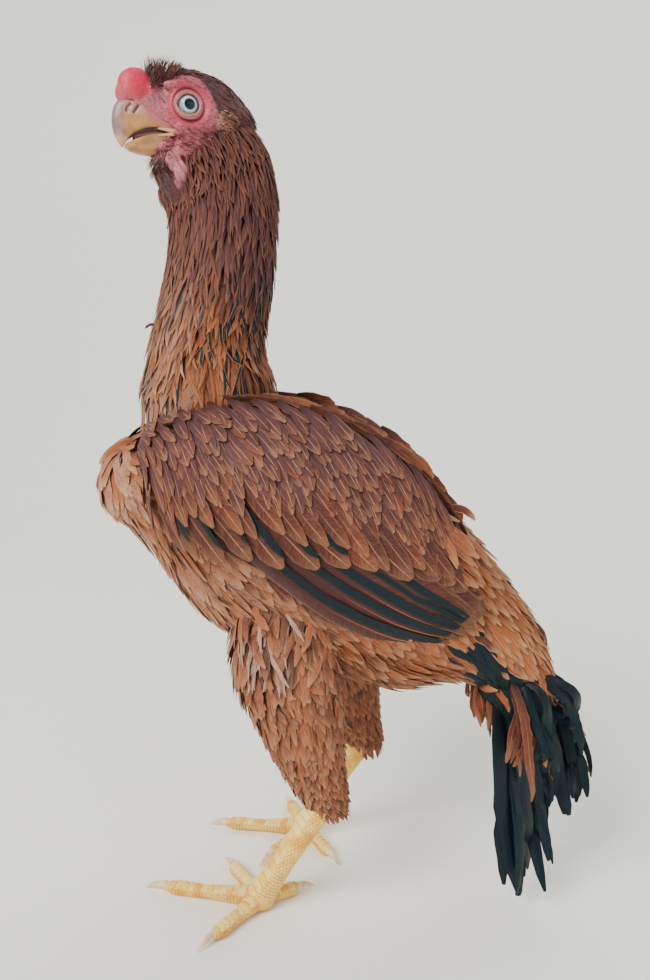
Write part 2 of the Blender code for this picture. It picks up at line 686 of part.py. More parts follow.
def claw(word, toe_name, name, slot=None, grow=0.0, collection=hen):
    """A horn that curves down from the toe's end."""
    length = TOES[word][toe_name][1]
    ahead = toe_ahead(word, toe_name)
    end = np.array([*FOOT_PLACE[word], TOE_HEIGHT[-1][1]]) + ahead * length
    rows = np.array(CLAW_SHAPE)
    middles = end + ahead * (CLAW_LENGTH * rows[:, :1]) + [[0, 0, rise] for rise in rows[:, 2]]
    middles[0] -= ahead * grow
    middles[-1] += ahead * grow
    turn = np.arange(8) * math.pi / 4
    up = np.array([0.0, 0.0, 1.0])
    beside = np.cross(ahead, up)
    size = rows[:, 1:2] + grow
    points = middles[:, None] + (size * np.sin(turn))[..., None] * up + (size * np.cos(turn))[..., None] * beside
    return new_object(name, outward_mesh(name, points.reshape(-1, 3), ring_faces(len(rows), 8)), slot, collection)


def floor_block():
    shape = bmesh.new()
    bmesh.ops.create_cube(shape, size=1.0)
    size = Matrix.Diagonal((0.6, 0.6, FLOOR_CUT_DEPTH * MM, 1.0))
    lowered = Matrix.Translation((0, 0, -FLOOR_CUT_DEPTH * MM / 2))
    bmesh.ops.transform(shape, matrix=lowered @ size, verts=shape.verts)
    mesh = bpy.data.meshes.new("floor_block")
    shape.to_mesh(mesh)
    shape.free()
    return new_object("floor_block", mesh, collection=cutters)


def make_leg(word):
    thigh = loft("thigh_" + word, thigh_stations(word), "brown_feather", side=side_of(word))
    cut_by(thigh, grown_torso())
    leg = shank(word, "shank_" + word, "leg_scale")
    pads = helper_collection("pad")
    foot_pad(word, "pad", collection=pads)
    boolean(leg, "UNION", pads)
    cut_by(leg, floor_block(), grown_thigh(word))
    for toe_name in TOES[word]:
        piece = toe(word, toe_name, f"toe_{word}_{toe_name}", "leg_scale")
        grown_leg = shank(word, "cutter", grow=GAP, collection=cutters)
        cut_by(piece, foot_pad(word, "cutter", grow=GAP), grown_leg)
        if toe_name in ("inner", "outer"):
            cut_by(piece, toe(word, "middle", "cutter", grow=GAP, collection=cutters))
        cut_by(piece, claw(word, toe_name, "cutter", grow=GAP, collection=cutters), floor_block())
        cut_by(claw(word, toe_name, f"claw_{word}_{toe_name}", "horn"), floor_block())


def centre_on_floor():
    """Moves everything so that the box round the hen has the origin under its middle."""
    corners = np.array([corner[:] for obj in hen.objects for corner in obj.bound_box])
    middle = (corners.min(axis=0) + corners.max(axis=0)) / 2
    shift = Vector((-middle[0], -middle[1], 0.0))
    for obj in hen.objects:
        obj.data.transform(Matrix.Translation(shift))
    return shift


make_torso()
make_neck()
make_head()
make_beak()
make_comb()
make_tail()
for side_word in ("left", "right"):
    make_ear_and_wattle(side_of(side_word), side_word)
    make_wing(side_of(side_word), side_word)
    make_leg(side_word)
bpy.context.view_layer.update()
moved = centre_on_floor()
print("moved by", moved)
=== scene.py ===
# %% [markdown]
# # An aseel hen, feather by feather
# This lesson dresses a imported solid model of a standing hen. The solids give every size and place.
# Here they get bare skin, scales, horn, wet eyes, about fourteen thousand feathers and three thousand
# bristles, each one a small closed mesh that lies along the body. Lengths are in millimetres until a
# mesh is made.

# %% Load the frame
import math

import bmesh
import bpy
import numpy as np
from mathutils import Euler, Matrix, Vector


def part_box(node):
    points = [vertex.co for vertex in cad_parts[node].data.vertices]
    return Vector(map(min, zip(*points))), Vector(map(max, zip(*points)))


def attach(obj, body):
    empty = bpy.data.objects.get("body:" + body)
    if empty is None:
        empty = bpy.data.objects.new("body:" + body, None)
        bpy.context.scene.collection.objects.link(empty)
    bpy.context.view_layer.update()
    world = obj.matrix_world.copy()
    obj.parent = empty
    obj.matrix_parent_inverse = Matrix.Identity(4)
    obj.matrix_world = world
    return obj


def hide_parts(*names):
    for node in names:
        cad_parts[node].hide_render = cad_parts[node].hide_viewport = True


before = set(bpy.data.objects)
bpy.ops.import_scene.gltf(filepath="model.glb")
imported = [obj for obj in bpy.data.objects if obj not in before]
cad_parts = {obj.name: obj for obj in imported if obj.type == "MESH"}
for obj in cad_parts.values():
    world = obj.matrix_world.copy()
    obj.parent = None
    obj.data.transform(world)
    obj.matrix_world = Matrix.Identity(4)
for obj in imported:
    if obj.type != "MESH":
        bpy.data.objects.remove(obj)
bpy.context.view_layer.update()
MM = 0.001
rng = np.random.default_rng(11)

# %% [markdown]
# The solids were made from tables of stations, rings along a middle line. The same tables are used here,
# so that skin and feathers follow the solids. The whole hen was then moved to stand on the origin, and
# the left eye, a whole ball, tells by how much.

# %% The tables of the body, as in the solids
TORSO = (  # x, y, z, half height up, half height down, half width
    (-131, 0, 294, 10, 10, 12), (-122, 0, 294, 23, 22, 31), (-104, 0, 291, 40, 36, 49),
    (-70, 0, 281, 60, 52, 61), (-28, 0, 262, 82, 72, 67), (15, 0, 242, 82, 75, 66),
    (60, 0, 222, 74, 67, 58), (100, 0, 203, 61, 58, 47), (132, 0, 186, 45, 30, 36),
    (156, 0, 171, 31, 20, 26), (173, 0, 158, 18, 11, 16), (183, 0, 149, 6, 5, 6),
)
NECK = (
    (-66, 0, 318, 40, 50, 44), (-62, 0, 346, 46, 47, 42), (-63, 0, 372, 41, 40, 36),
    (-61, 0, 396, 37, 37, 32), (-57, 0, 422, 36, 36, 30), (-55, 0, 448, 36, 36, 30),
    (-56, 0, 472, 37, 37, 29), (-62, -1, 492, 40, 38, 24), (-70, -2, 510, 34, 34, 21),
)
THIGH = (
    (0, 34, 240, 20, 20, 16), (2, 39, 205, 30, 30, 21), (6, 44, 172, 34, 33, 25),
    (14, 46, 143, 29, 29, 23), (24, 47, 113, 22, 22, 18), (33, 47, 91, 15, 16, 14), (38, 47, 79, 9, 10, 9),
)
WING = (  # x, y, z of the middle line, half depth, how far the sheet's middle stands out
    (-95, 52, 309, 10, 5), (-82, 56, 311, 26, 12), (-48, 60, 303, 45, 16), (2, 61, 287, 55, 17),
    (48, 56, 267, 52, 15), (88, 47, 243, 38, 12), (112, 40, 228, 23, 9), (124, 37, 220, 12, 6),
)
WING_ROUND = 0.45
WING_LEAN_IN = 22.0
WING_DEPTH = 17.0
BREAST_LOBE = ((-99, 27, 289), (31, 24, 31))
FRONT_LOBE = ((-97, 0, 294), (36, 44, 33))  # a ball that lies just over the torso's front end
HEAD_PLACE = np.array([-75.0, -4.0, 526.0])
HEAD_YAW = 27.0
HEAD_PITCH = 7.0
EYE_PLACE = np.array([-9.0, 12.3, 3.0])
EYE_SEAT = EYE_PLACE + [1.6, 0, 0]
EYE_RADIUS = 7.6
LEG_SETBACK = {-1: 0.0, 1: 22.0}
HOCK = (39.0, 47.0, 92.0)
FOOT_PLACE = {-1: (-7.0, -46.0), 1: (15.0, 43.0)}
WORDS = {-1: "left", 1: "right"}
UP = np.array([0, 0, 1.0])

HEAD_TURN = np.array(Euler((0.0, -math.radians(HEAD_PITCH), math.radians(HEAD_YAW))).to_matrix())


def on_head(points):
    """Points made round the head's middle, turned and moved to where the head is."""
    return points @ HEAD_TURN.T + HEAD_PLACE


eye_low, eye_high = (np.array(corner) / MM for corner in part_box("eye_left"))
SHIFT = (eye_low + eye_high) / 2 - on_head(EYE_PLACE * [1, -1, 1])
print("the solids were moved by", SHIFT.round(2), "mm")

# %% [markdown]
# A smooth body can come from few stations if a curve runs through them. A Catmull-Rom curve does that,
# and numpy reads it at any number of places at once. The surface is then a function of two numbers:
# the place along the stations, and the turn round them.


# %% Surfaces as functions of two numbers
def smooth_at(stations, places):
    """A Catmull-Rom curve: each stretch is a cubic of the two rows at its ends and the two beyond."""
    rows = np.array(stations, float)
    padded = np.vstack([2 * rows[0] - rows[1], rows, 2 * rows[-1] - rows[-2]])
    places = np.asarray(places, float)
    k = np.clip(np.floor(places).astype(int), 0, len(rows) - 2)
    t = (np.clip(places, 0, len(rows) - 1) - k)[..., None]
    before, start, end, after = (padded[k + step] for step in range(4))
    curve = 2 * start + (end - before) * t
    curve += (2 * before - 5 * start + 4 * end - after) * t**2
    curve += (3 * start - before - 3 * end + after) * t**3
    past_end = (places - np.clip(places, 0, len(rows) - 1))[..., None]
    return curve / 2 + past_end * (rows[-1] - rows[-2])


def varied(mean, spread, number, most=1.0):
    """Random numbers round a mean, kept between 0 and the most."""
    return np.clip(rng.normal(mean, spread, number), 0, most)


def unit(vectors):
    return vectors / np.maximum(np.linalg.norm(vectors, axis=-1, keepdims=True), 1e-9)


def smooth_step(low, high, values):
    """0 below low and 1 above high, eased by 3t^2 - 2t^3 between them."""
    t = np.clip((values - low) / (high - low), 0, 1)
    return t * t * (3 - 2 * t)


def tube(stations, side=1, setback=0.0):
    """A surface round stations: middle + half height * sin(b) * up + half width * cos(b) * beside."""
    flip = np.array([1, side, 1])

    def at(a, b):
        rows = smooth_at(stations, a)
        behind, before = (smooth_at(stations, a + step)[..., :3] * flip for step in (0.05, -0.05))
        ahead = unit(behind - before)
        up = unit(np.cross(ahead, [0.0, 1.0, 0.0]))
        beside = np.cross(up, ahead)
        half = np.maximum(np.where(np.sin(b) > 0, rows[..., 3], rows[..., 4]), 1.5)
        wide = np.maximum(rows[..., 5], 1.5)
        point = rows[..., :3] * flip + [setback, 0, 0]
        return point + (half * np.sin(b))[..., None] * up + (wide * np.cos(b))[..., None] * beside

    return at


def wing_sheet(side):
    """The folded wing's outer face: a runs from the wrist to the tip, b from -1 below to 1 above.

    Point = middle line + half depth * b * across, stood out by (1 - round * b^2), less b^2 for the lean in.
    """

    def at(a, b):
        rows = smooth_at(WING, a)
        ahead = unit(smooth_at(WING, a + 0.05)[..., :3] - smooth_at(WING, a - 0.05)[..., :3])
        across = unit(np.cross(ahead, [0.0, 1.0, 0.0]))
        point = rows[..., :3] + across * (b * rows[..., 3])[..., None]
        point[..., 1] += rows[..., 4] * (1 - WING_ROUND * b**2) - WING_LEAN_IN * np.clip(b, 0, 2) ** 2
        return point * [1, side, 1]

    return at


def slopes(surface, a, b):
    """How the point moves for one step of a and one of b, by small differences."""
    step = 0.01
    along = (surface(a + step, b) - surface(a - step, b)) / (2 * step)
    around = (surface(a, b + step) - surface(a, b - step)) / (2 * step)
    return along, around


def outward(surface, a, b, turn):
    """The way out of the surface, square to both slopes. Turn is 1 or -1 and picks the side."""
    along, around = slopes(surface, a, b)
    return unit(np.cross(along, around)) * turn


# %% [markdown]
# Blender takes a whole mesh from arrays at once with foreach_set, which is far faster than adding
# faces one by one. Each finished piece rides on the hen's only body and hides the solids it replaces.


# %% Meshes from arrays
def mesh_of(name, points, quads):
    """A mesh from points in millimetres and rows of four corners."""
    mesh = bpy.data.meshes.new(name)
    mesh.vertices.add(len(points))
    mesh.vertices.foreach_set("co", ((points + SHIFT) * MM).astype(np.float32).ravel())
    mesh.loops.add(quads.size)
    mesh.loops.foreach_set("vertex_index", quads.astype(np.int32).ravel())
    mesh.polygons.add(len(quads))
    mesh.polygons.foreach_set("loop_start", np.arange(len(quads), dtype=np.int32) * 4)
    mesh.update(calc_edges=True)
    mesh.shade_smooth()
    return mesh


def placed(name, data):
    """A new object in the scene."""
    obj = bpy.data.objects.new(name, data)
    bpy.context.scene.collection.objects.link(obj)
    return obj


def piece(name, mesh, slot, material, *nodes):
    """A finished piece of the hen, which takes the place of the named solids."""
    obj = placed(name, mesh)
    mesh.materials.clear()
    mesh.materials.append(material)
    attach(obj, "root")
    if nodes:
        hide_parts(*nodes)
    print(name, len(mesh.polygons), "faces")
    return obj


def grid_quads(rows, columns, closed=True):
    """The corners of the quads of a grid, whose last column meets the first if it is closed."""
    k, i = np.meshgrid(np.arange(rows - 1), np.arange(columns if closed else columns - 1), indexing="ij")
    here, beside = k * columns + i, k * columns + (i + 1) % columns
    return np.stack([here, beside, beside + columns, here + columns], axis=-1).reshape(-1, 4)


def set_numbers(mesh, **values):
    """Stores one number per vertex under each name, for a material to read."""
    for name, numbers in values.items():
        mesh.attributes.new(name, "FLOAT", "POINT").data.foreach_set("value", numbers.astype(np.float32))


def vectors_of(values, number, word):
    """All the vectors of one kind from a mesh's vertices or normals."""
    flat = np.zeros(number * 3, np.float32)
    values.foreach_get(word, flat)
    return flat.reshape(-1, 3)


def vertices_of(mesh):
    """The vertices in millimetres, back in the frame of the tables."""
    return vectors_of(mesh.vertices, len(mesh.vertices), "co") / MM - SHIFT


def closed_shell(name, grids, voxel, rounds):
    """One skin from overlapping closed grids: voxel remesh joins them, and smoothing rounds the joins.

    Each grid is an array (rows, columns, 3) of rings. A cap closes its first and last ring.
    """
    points, faces, start = [], [], 0
    for grid in grids:
        rows, columns = grid.shape[:2]
        points.append(grid.reshape(-1, 3))
        faces += (grid_quads(rows, columns) + start).tolist()
        faces.append([start + i for i in range(columns)][::-1])
        faces.append([start + (rows - 1) * columns + i for i in range(columns)])
        start += rows * columns
    mesh = bpy.data.meshes.new(name)
    mesh.from_pydata(((np.concatenate(points) + SHIFT) * MM).tolist(), [], faces)
    rough = bmesh.new()
    rough.from_mesh(mesh)
    bmesh.ops.recalc_face_normals(rough, faces=rough.faces)
    rough.to_mesh(mesh)
    rough.free()
    source = placed(name + "_source", mesh)
    remesh = source.modifiers.new("skin", "REMESH")
    remesh.mode = "VOXEL"
    remesh.voxel_size = voxel * MM
    smooth = source.modifiers.new("smooth", "SMOOTH")
    smooth.factor = 0.5
    smooth.iterations = rounds
    graph = bpy.context.evaluated_depsgraph_get()
    skin = bpy.data.meshes.new_from_object(source.evaluated_get(graph))
    bpy.data.objects.remove(source)
    skin.shade_smooth()
    return skin


def turns_of(number):
    """Angles spread evenly round the circle."""
    return np.arange(number) * 2 * math.pi / number


def ellipsoid(place, size, turns=24, rings=14):
    """A ball as rings: size * (sin u * cos v, sin u * sin v, cos u) + place."""
    u = np.linspace(0.05, math.pi - 0.05, rings)[:, None]
    v = turns_of(turns)[None]
    ball = np.stack([np.sin(u) * np.cos(v), np.sin(u) * np.sin(v), np.cos(u) + 0 * v], axis=-1)
    return ball * size + place


def places_on(stations, rows, columns):
    """A grid of places along a table's stations and turns round them."""
    return np.meshgrid(np.linspace(0, len(stations) - 1, rows), turns_of(columns), indexing="ij")


def with_ends(rings, middles=None):
    """Rings closed by one of no width at each end: in the end ring's middle, or at the given middle."""
    ends = (rings[k].mean(axis=0) if middles is None else middles[k] for k in (0, -1))
    first, last = (np.broadcast_to(end, rings[0].shape)[None] for end in ends)
    return np.concatenate([first, rings, last])


def tube_grid(stations, rows, columns, inset=0.0, **options):
    """Rings of a tube surface, moved in by the coat's depth."""
    a, b = places_on(stations, rows, columns)
    slim = [(*row[:3], *(max(half - inset, 2.0) for half in row[3:])) for row in stations]
    return tube(slim, **options)(a, b)


# %% [markdown]
# A material is a small program of nodes. These helpers add a node, mix two colours and read a number
# that the mesh carries, so that each material below reads like a recipe.


# %% Node helpers
def add(tree, kind, inputs=None, **settings):
    """A node with its settings, and its inputs as plain values or as other nodes' outputs."""
    node = tree.nodes.new("ShaderNode" + kind)
    for name, value in settings.items():
        setattr(node, name, value)
    for key, value in (inputs or {}).items():
        if isinstance(value, bpy.types.NodeSocket):
            tree.links.new(value, node.inputs[key])
        else:
            node.inputs[key].default_value = value
    return node


def mixed(tree, share, first, second):
    """Share 0 gives the first colour, 1 the second."""
    colours = {6: first, 7: second}
    colours = {key: (*value, 1.0) if isinstance(value, tuple) else value for key, value in colours.items()}
    return add(tree, "Mix", {0: share, **colours}, data_type="RGBA").outputs[2]


def count(tree, operation, first, second=0.0):
    return add(tree, "Math", {0: first, 1: second}, operation=operation).outputs[0]


def times(tree, first, second):
    return count(tree, "MULTIPLY", first, second)


def plus(tree, first, second):
    return count(tree, "ADD", first, second)


def minus(tree, first, second):
    return count(tree, "SUBTRACT", first, second)


def eased(tree, value, low, high):
    """0 at low and 1 at high, eased between them."""
    values = {"Value": value, "From Min": low, "From Max": high}
    return add(tree, "MapRange", values, interpolation_type="SMOOTHSTEP").outputs["Result"]


def stored(tree, name):
    return add(tree, "Attribute", attribute_name=name).outputs["Fac"]


def tinted(tree, colour, tints):
    """One tint after the other, each laid on where its own stored mask is 1."""
    for word, tint in tints:
        colour = mixed(tree, stored(tree, word), colour, tint)
    return colour


def noise(tree, scale, detail, roughness=0.5, where=None):
    """Soft random clouds. Without another place they are fixed to the hen, so many to the metre."""
    where = where or add(tree, "TexCoord").outputs["Object"]
    settings = {"Vector": where, "Scale": scale, "Detail": detail, "Roughness": roughness}
    return add(tree, "TexNoise", settings).outputs[0]


def finish_of(name, roughness=0.5, **constants):
    """A material with a Principled BSDF, and constants on the shader's own sockets."""
    material = bpy.data.materials.new(name)
    material.use_nodes = True
    shader = material.node_tree.nodes["Principled BSDF"]
    shader.inputs["Roughness"].default_value = roughness
    for key, value in constants.items():
        shader.inputs[key.replace("_", " ")].default_value = value
    return material, material.node_tree, shader


def group_of(name, inputs, outputs):
    """An empty node group with named number sockets, its tree, and its two end nodes."""
    tree = bpy.data.node_groups.new(name, "ShaderNodeTree")
    for way, words in (("INPUT", inputs), ("OUTPUT", outputs)):
        for word in words:
            tree.interface.new_socket(word, in_out=way, socket_type="NodeSocketFloat")
    return tree, tree.nodes.new("NodeGroupInput").outputs, tree.nodes.new("NodeGroupOutput").inputs


def use(tree, group, **inputs):
    return add(tree, "Group", inputs, node_tree=group).outputs


def bump(tree, shader, height, strength, depth):
    """Raises the surface by a height map, depth in millimetres."""
    node = add(tree, "Bump", {"Height": height, "Strength": strength, "Distance": depth * MM})
    tree.links.new(node.outputs[0], shader.inputs["Normal"])


# %% [markdown]
# A feather's vane is made of barbs, fine branches that leave the shaft at a slant and cling together in
# strands. Modelling each one is far too heavy. A noise that is stretched along the barbs draws them.
# Its two coordinates are the distance along the shaft less a share of the distance out, and the
# distance out itself.

# %% The barbs of a vane, shared by all feathers
BARB_SLANT = 0.24
BARB_COUNT = 26.0
SHAFT_WIDTH = 0.08

barbs, given, wanted = group_of(
    "barbs", ("Across", "Along", "Span", "Chance"), ("Strand", "Height", "Side", "Shaft"))
side_out = count(barbs, "ABSOLUTE", minus(barbs, times(barbs, given["Across"], 2.0), 1.0))
branch = minus(barbs, times(barbs, given["Along"], given["Span"]), times(barbs, side_out, BARB_SLANT))
strand_place = add(barbs, "CombineXYZ", {
    "X": times(barbs, branch, BARB_COUNT),
    "Y": times(barbs, side_out, 1.5),
    "Z": times(barbs, given["Chance"], 60.0),
}).outputs[0]
strand = eased(barbs, noise(barbs, 1.0, 3.0, 0.65, where=strand_place), 0.3, 0.7)
shaft = minus(barbs, 1.0, eased(barbs, side_out, SHAFT_WIDTH * 0.4, SHAFT_WIDTH))
raised = plus(barbs, times(barbs, strand, 0.6), shaft)
for word, value in (("Strand", strand), ("Height", raised), ("Side", side_out), ("Shaft", shaft)):
    barbs.links.new(value, wanted[word])

# %% [markdown]
# All feathers share one material. Each vane carries numbers for its own looks: how light its rust brown
# is, how much of it is purple brown, blue-black or cream, and its length. The material turns these
# into colour, paints shade on the covered base, where the feathers above would shade it, and lays a tan
# streak along the shaft.

# %% Feather colours
RUST_LIGHT = (0.35, 0.098, 0.030)
RUST_DARK = (0.052, 0.0125, 0.007)
PURPLE_BROWN = (0.080, 0.031, 0.037)
BLUE_BLACK = (0.002, 0.0105, 0.0145)
TAN = (0.50, 0.27, 0.14)
CREAM = (0.66, 0.56, 0.45)

plumage, tree, shader = finish_of("plumage", 0.56, Specular_IOR_Level=0.18)
vane_place = add(tree, "SeparateXYZ", {0: add(tree, "UVMap", uv_map="vane").outputs[0]}).outputs
span_and_chance = {word: stored(tree, word.lower()) for word in ("Span", "Chance")}
detail = use(tree, barbs, Across=vane_place[0], Along=vane_place[1], **span_and_chance)
light = times(tree, minus(tree, detail["Strand"], 0.5), 0.45)
light = plus(tree, light, stored(tree, "tone"))
light = plus(tree, light, times(tree, minus(tree, vane_place[1], 0.6), 0.3))
colour = mixed(tree, eased(tree, light, -0.05, 1.05), RUST_DARK, RUST_LIGHT)
colour = mixed(tree, stored(tree, "dark"), colour, PURPLE_BROWN)
streak = times(tree, detail["Shaft"], stored(tree, "streak"))
streak = times(tree, streak, eased(tree, vane_place[1], 0.3, 0.8))
colour = mixed(tree, streak, colour, TAN)
rim = eased(tree, count(tree, "MAXIMUM", detail["Side"], vane_place[1]), 0.72, 1.0)
colour = mixed(tree, times(tree, rim, stored(tree, "edge")), colour, TAN)
inked = plus(tree, stored(tree, "black"), times(tree, light, 0.10))
inked = eased(tree, inked, 0.50, 0.66)
colour = mixed(tree, inked, colour, BLUE_BLACK)
washed = times(tree, stored(tree, "pale"), plus(tree, detail["Strand"], 0.35))
colour = mixed(tree, washed, colour, CREAM)
# Painted shade: the covered base of each vane is darkened towards near black, for the shade of the feathers
# above.
painted_root_shade = minus(tree, 1.0, eased(tree, vane_place[1], 0.0, 0.5))
colour = mixed(tree, times(tree, painted_root_shade, 0.6), colour, (0.02, 0.009, 0.008))
tree.links.new(colour, shader.inputs["Base Color"])
gloss = minus(tree, 0.58, times(tree, inked, 0.28))
tree.links.new(gloss, shader.inputs["Roughness"])
bump(tree, shader, detail["Height"], 0.55, 0.35)

# %% [markdown]
# One call makes thousands of vanes. A vane is a run of rings along its own centre line, and a ring has
# a left rim, the raised shaft, a right rim and a keel beneath, so each vane is closed. Its width follows
# an outline, its rims drop a little towards the body, and a frayed edge is a small random share of
# the width. The whole set is worked out as one array of vanes, rings and points.

# %% Vanes as arrays
BAKE_PATCH = 0.003
BODY_OUTLINE = ((0, 0.35), (0.25, 0.8), (0.55, 1.0), (0.8, 0.92), (0.93, 0.62), (1, 0.22))
HACKLE_OUTLINE = ((0, 0.5), (0.3, 0.95), (0.55, 1.0), (0.8, 0.72), (0.95, 0.3), (1, 0.08))
FLIGHT_OUTLINE = ((0, 0.3), (0.2, 0.75), (0.5, 1.0), (0.82, 0.96), (0.94, 0.7), (1, 0.25))
MARKS = ("tone", "dark", "black", "pale", "edge", "streak", "span", "chance")


def full(values, shape):
    """A number, one per vane, or one per vane and ring, spread to every point."""
    values = np.asarray(values, float)
    while values.ndim < len(shape):
        values = values[..., None]
    return np.broadcast_to(values, shape)


def vanes(line, normals, half, outline, bake, lean=0.0, cup=0.22, thick=0.45, fray=0.07, **marks):
    """Closed vanes along lines (vane, ring, 3), with the ways out of the body and the half width of each."""
    number, rings = line.shape[:2]
    along = np.linspace(0, 1, rings)
    across = unit(np.cross(np.gradient(line, axis=1), normals))
    outline = np.array(outline)
    wide = np.asarray(half).reshape(-1, 1) * np.interp(along, outline[:, 0], outline[:, 1])
    left, right = (wide * (1 + fray * rng.normal(size=(number, rings))) for _ in range(2))
    ridge = thick * (1 - 0.7 * along)
    drop, rise = cup * wide, lean * wide
    points = np.stack([
        line - across * left[..., None] + normals * (rise - drop)[..., None],
        line + normals * ridge[:, None],
        line + across * right[..., None] - normals * (rise + drop)[..., None],
        line - normals * (0.4 * ridge[:, None] + drop[..., None] * 0.5),
    ], axis=2)
    shape = (number, rings, 4)
    first = np.arange(number)[:, None, None] * rings * 4
    quads = (grid_quads(rings, 4) + first).reshape(-1, 4)
    start_caps = first.reshape(-1, 1) + [[3, 2, 1, 0]]
    end_caps = first.reshape(-1, 1) + (rings - 1) * 4 + [[0, 1, 2, 3]]
    vane_uv = np.stack([np.broadcast_to([0.0, 0.5, 1.0, 0.5], shape), full(along[None], shape)], axis=-1)
    bake_uv = np.asarray(bake)[:, None, None] + (vane_uv - 0.5) * BAKE_PATCH
    marks.setdefault("span", np.linalg.norm(np.diff(line, axis=1), axis=-1).sum(axis=1) / 30)
    marks.setdefault("chance", rng.uniform(size=number))
    return {
        "points": points.reshape(-1, 3),
        "quads": np.concatenate([quads, start_caps, end_caps]),
        "vane": vane_uv.reshape(-1, 2),
        "OFBake": bake_uv.reshape(-1, 2),
        **{name: full(marks.get(name, 0.0), shape).ravel() for name in MARKS},
    }


def through(root, bend, tip, rings):
    """Lines from roots through bends to tips: root (1-t)^2 + pull 2t(1-t) + tip t^2."""
    t = np.linspace(0, 1, rings)[None, :, None]
    root, bend, tip = (points[:, None] for points in (root, bend, tip))
    pull = 2 * bend - (root + tip) / 2
    return root * (1 - t) ** 2 + pull * 2 * t * (1 - t) + tip * t**2


def coat(name, sets, slot):
    """Joins sets of vanes into one piece with its two UV maps and its numbers."""
    starts = np.cumsum([0] + [len(one["points"]) for one in sets[:-1]])
    quads = np.concatenate([one["quads"] + start for one, start in zip(sets, starts)])
    mesh = mesh_of(name, np.concatenate([one["points"] for one in sets]), quads)
    mesh.set_sharp_from_angle(angle=math.radians(70))
    for word in ("vane", "OFBake"):
        flat = np.concatenate([one[word] for one in sets])[quads.ravel()]
        mesh.uv_layers.new(name=word).data.foreach_set("uv", flat.astype(np.float32).ravel())
    set_numbers(mesh, **{word: np.concatenate([one[word] for one in sets]) for word in MARKS})
    return piece(name, mesh, slot, plumage)


def lay(surface, turn, a, b, length, slant, lifts, rings=6, sway=0.0, bow=1.0):
    """Centre lines that start at (a, b), run their length at a slant to the way of a, and follow the body.

    A line's lift off the surface goes from the first to the second value as t^bow. Sway bends it sideways.
    """
    along, around = (np.linalg.norm(slope, axis=-1) for slope in slopes(surface, a, b))
    t = np.linspace(0, 1, rings)
    to_a = (length * np.cos(slant) / np.maximum(along, 1.0))[:, None] * t
    to_b = (length * np.sin(slant) / np.maximum(around, 4.0))[:, None] * t
    bent = full(sway, (len(a),))[:, None] * (t * t - t) * (np.abs(length) / np.maximum(around, 4.0))[:, None]
    path = a[:, None] + to_a, b[:, None] + to_b + bent
    normals = outward(surface, *path, turn)
    lift = np.asarray(lifts[0]).reshape(-1, 1) * (1 - t**bow) + np.asarray(lifts[1]).reshape(-1, 1) * t**bow
    return surface(*path) + normals * lift[..., None], normals


def staggered(surface, first, last, row_step, column_step, low=0.0, high=2 * math.pi, loose=0.3):
    """Roots in rows across the way of a, each row set half a step to the side of the one before.

    The steps are in millimetres and may be functions of a. Each root strays by a random share of a step.
    """
    roots, place, odd = [], first, 0
    way = 1 if last > first else -1
    while (last - place) * way > 0:
        turns = np.linspace(low, high, 33)[:-1]
        here = np.full(32, place)
        along, around = (np.linalg.norm(slope, axis=-1) for slope in slopes(surface, here, turns))
        step_along, step_across = (
            step(place) if callable(step) else step for step in (row_step, column_step))
        number = max(int(around.mean() * (high - low) / step_across), 3)
        spread = (np.arange(number) + 0.5 * (odd % 2) + rng.uniform(-loose, loose, number)) / number
        pace = step_along / max(along.mean(), 1.0)
        rows = place + rng.uniform(-loose, loose, number) * pace
        roots.append(np.stack([rows, low + spread * (high - low)], axis=1))
        place += way * pace
        odd += 1
    return np.concatenate(roots).T


def bake_cell(a, b, cell, a_range, b_range=(0.0, 2 * math.pi)):
    """Where roots lie on the unwrap: their place along and round, inside the region's own cell."""
    u = (a - a_range[0]) / (a_range[1] - a_range[0])
    v = ((b - b_range[0]) / (b_range[1] - b_range[0])) % 1.0
    left, low, width, height = cell
    return np.stack([left + np.clip(u, 0, 1) * width, low + v * height], axis=-1)


# %% [markdown]
# Between feathers a little skin and down can show, so the hen needs a body under her coat. One voxel
# remesh joins torso, neck, thighs, wings and the root of the tail without a seam. They are moved in by
# the depth of the coat first.

# %% Body skin
TORSO_COAT, NECK_COAT, THIGH_COAT, WING_COAT = 8.0, 5.5, 5.0, 4.5
TAIL_CORE = (
    (126, -1, 176, 10, 10, 12), (146, -3, 167, 20, 22, 19), (164, -6, 149, 19, 20, 15),
    (176, -9, 126, 13, 13, 9), (182, -10, 106, 5, 5, 4),
)


def wing_core(side):
    """Rings of the wing's own thickness: the sheet moved in, and a second face nearer the body."""
    a, b = np.meshgrid(np.linspace(0.1, 6.7, 30), np.linspace(-0.85, 0.85, 12), indexing="ij")
    sheet = wing_sheet(side)
    outer = sheet(a, b) - outward(sheet, a, b, -side) * WING_COAT
    return np.concatenate([outer, outer[:, ::-1] - [0, side * 16.0, 0]], axis=1)


def darkness(points):
    """The share of purple brown on neck and head: full at the head, gone where the lower hackle starts."""
    x, _, z = np.moveaxis(points, -1, 0)
    return smooth_step(375, 455, z + 0.40 * (x + 57))


body_grids = [
    tube_grid(TORSO, 60, 48, TORSO_COAT), tube_grid(NECK, 40, 36, NECK_COAT), tube_grid(TAIL_CORE, 16, 16, 2),
]
for side in (-1, 1):
    body_grids.append(tube_grid(THIGH, 30, 28, THIGH_COAT, side=side, setback=LEG_SETBACK[side]))
    body_grids.append(wing_core(side))
    place, size = np.array(BREAST_LOBE, float)
    body_grids.append(ellipsoid(place * [1, side, 1], size - TORSO_COAT))
body_mesh = closed_shell("body_skin", body_grids, 2.6, 8)
places = vertices_of(body_mesh)
set_numbers(body_mesh, dark=darkness(places))

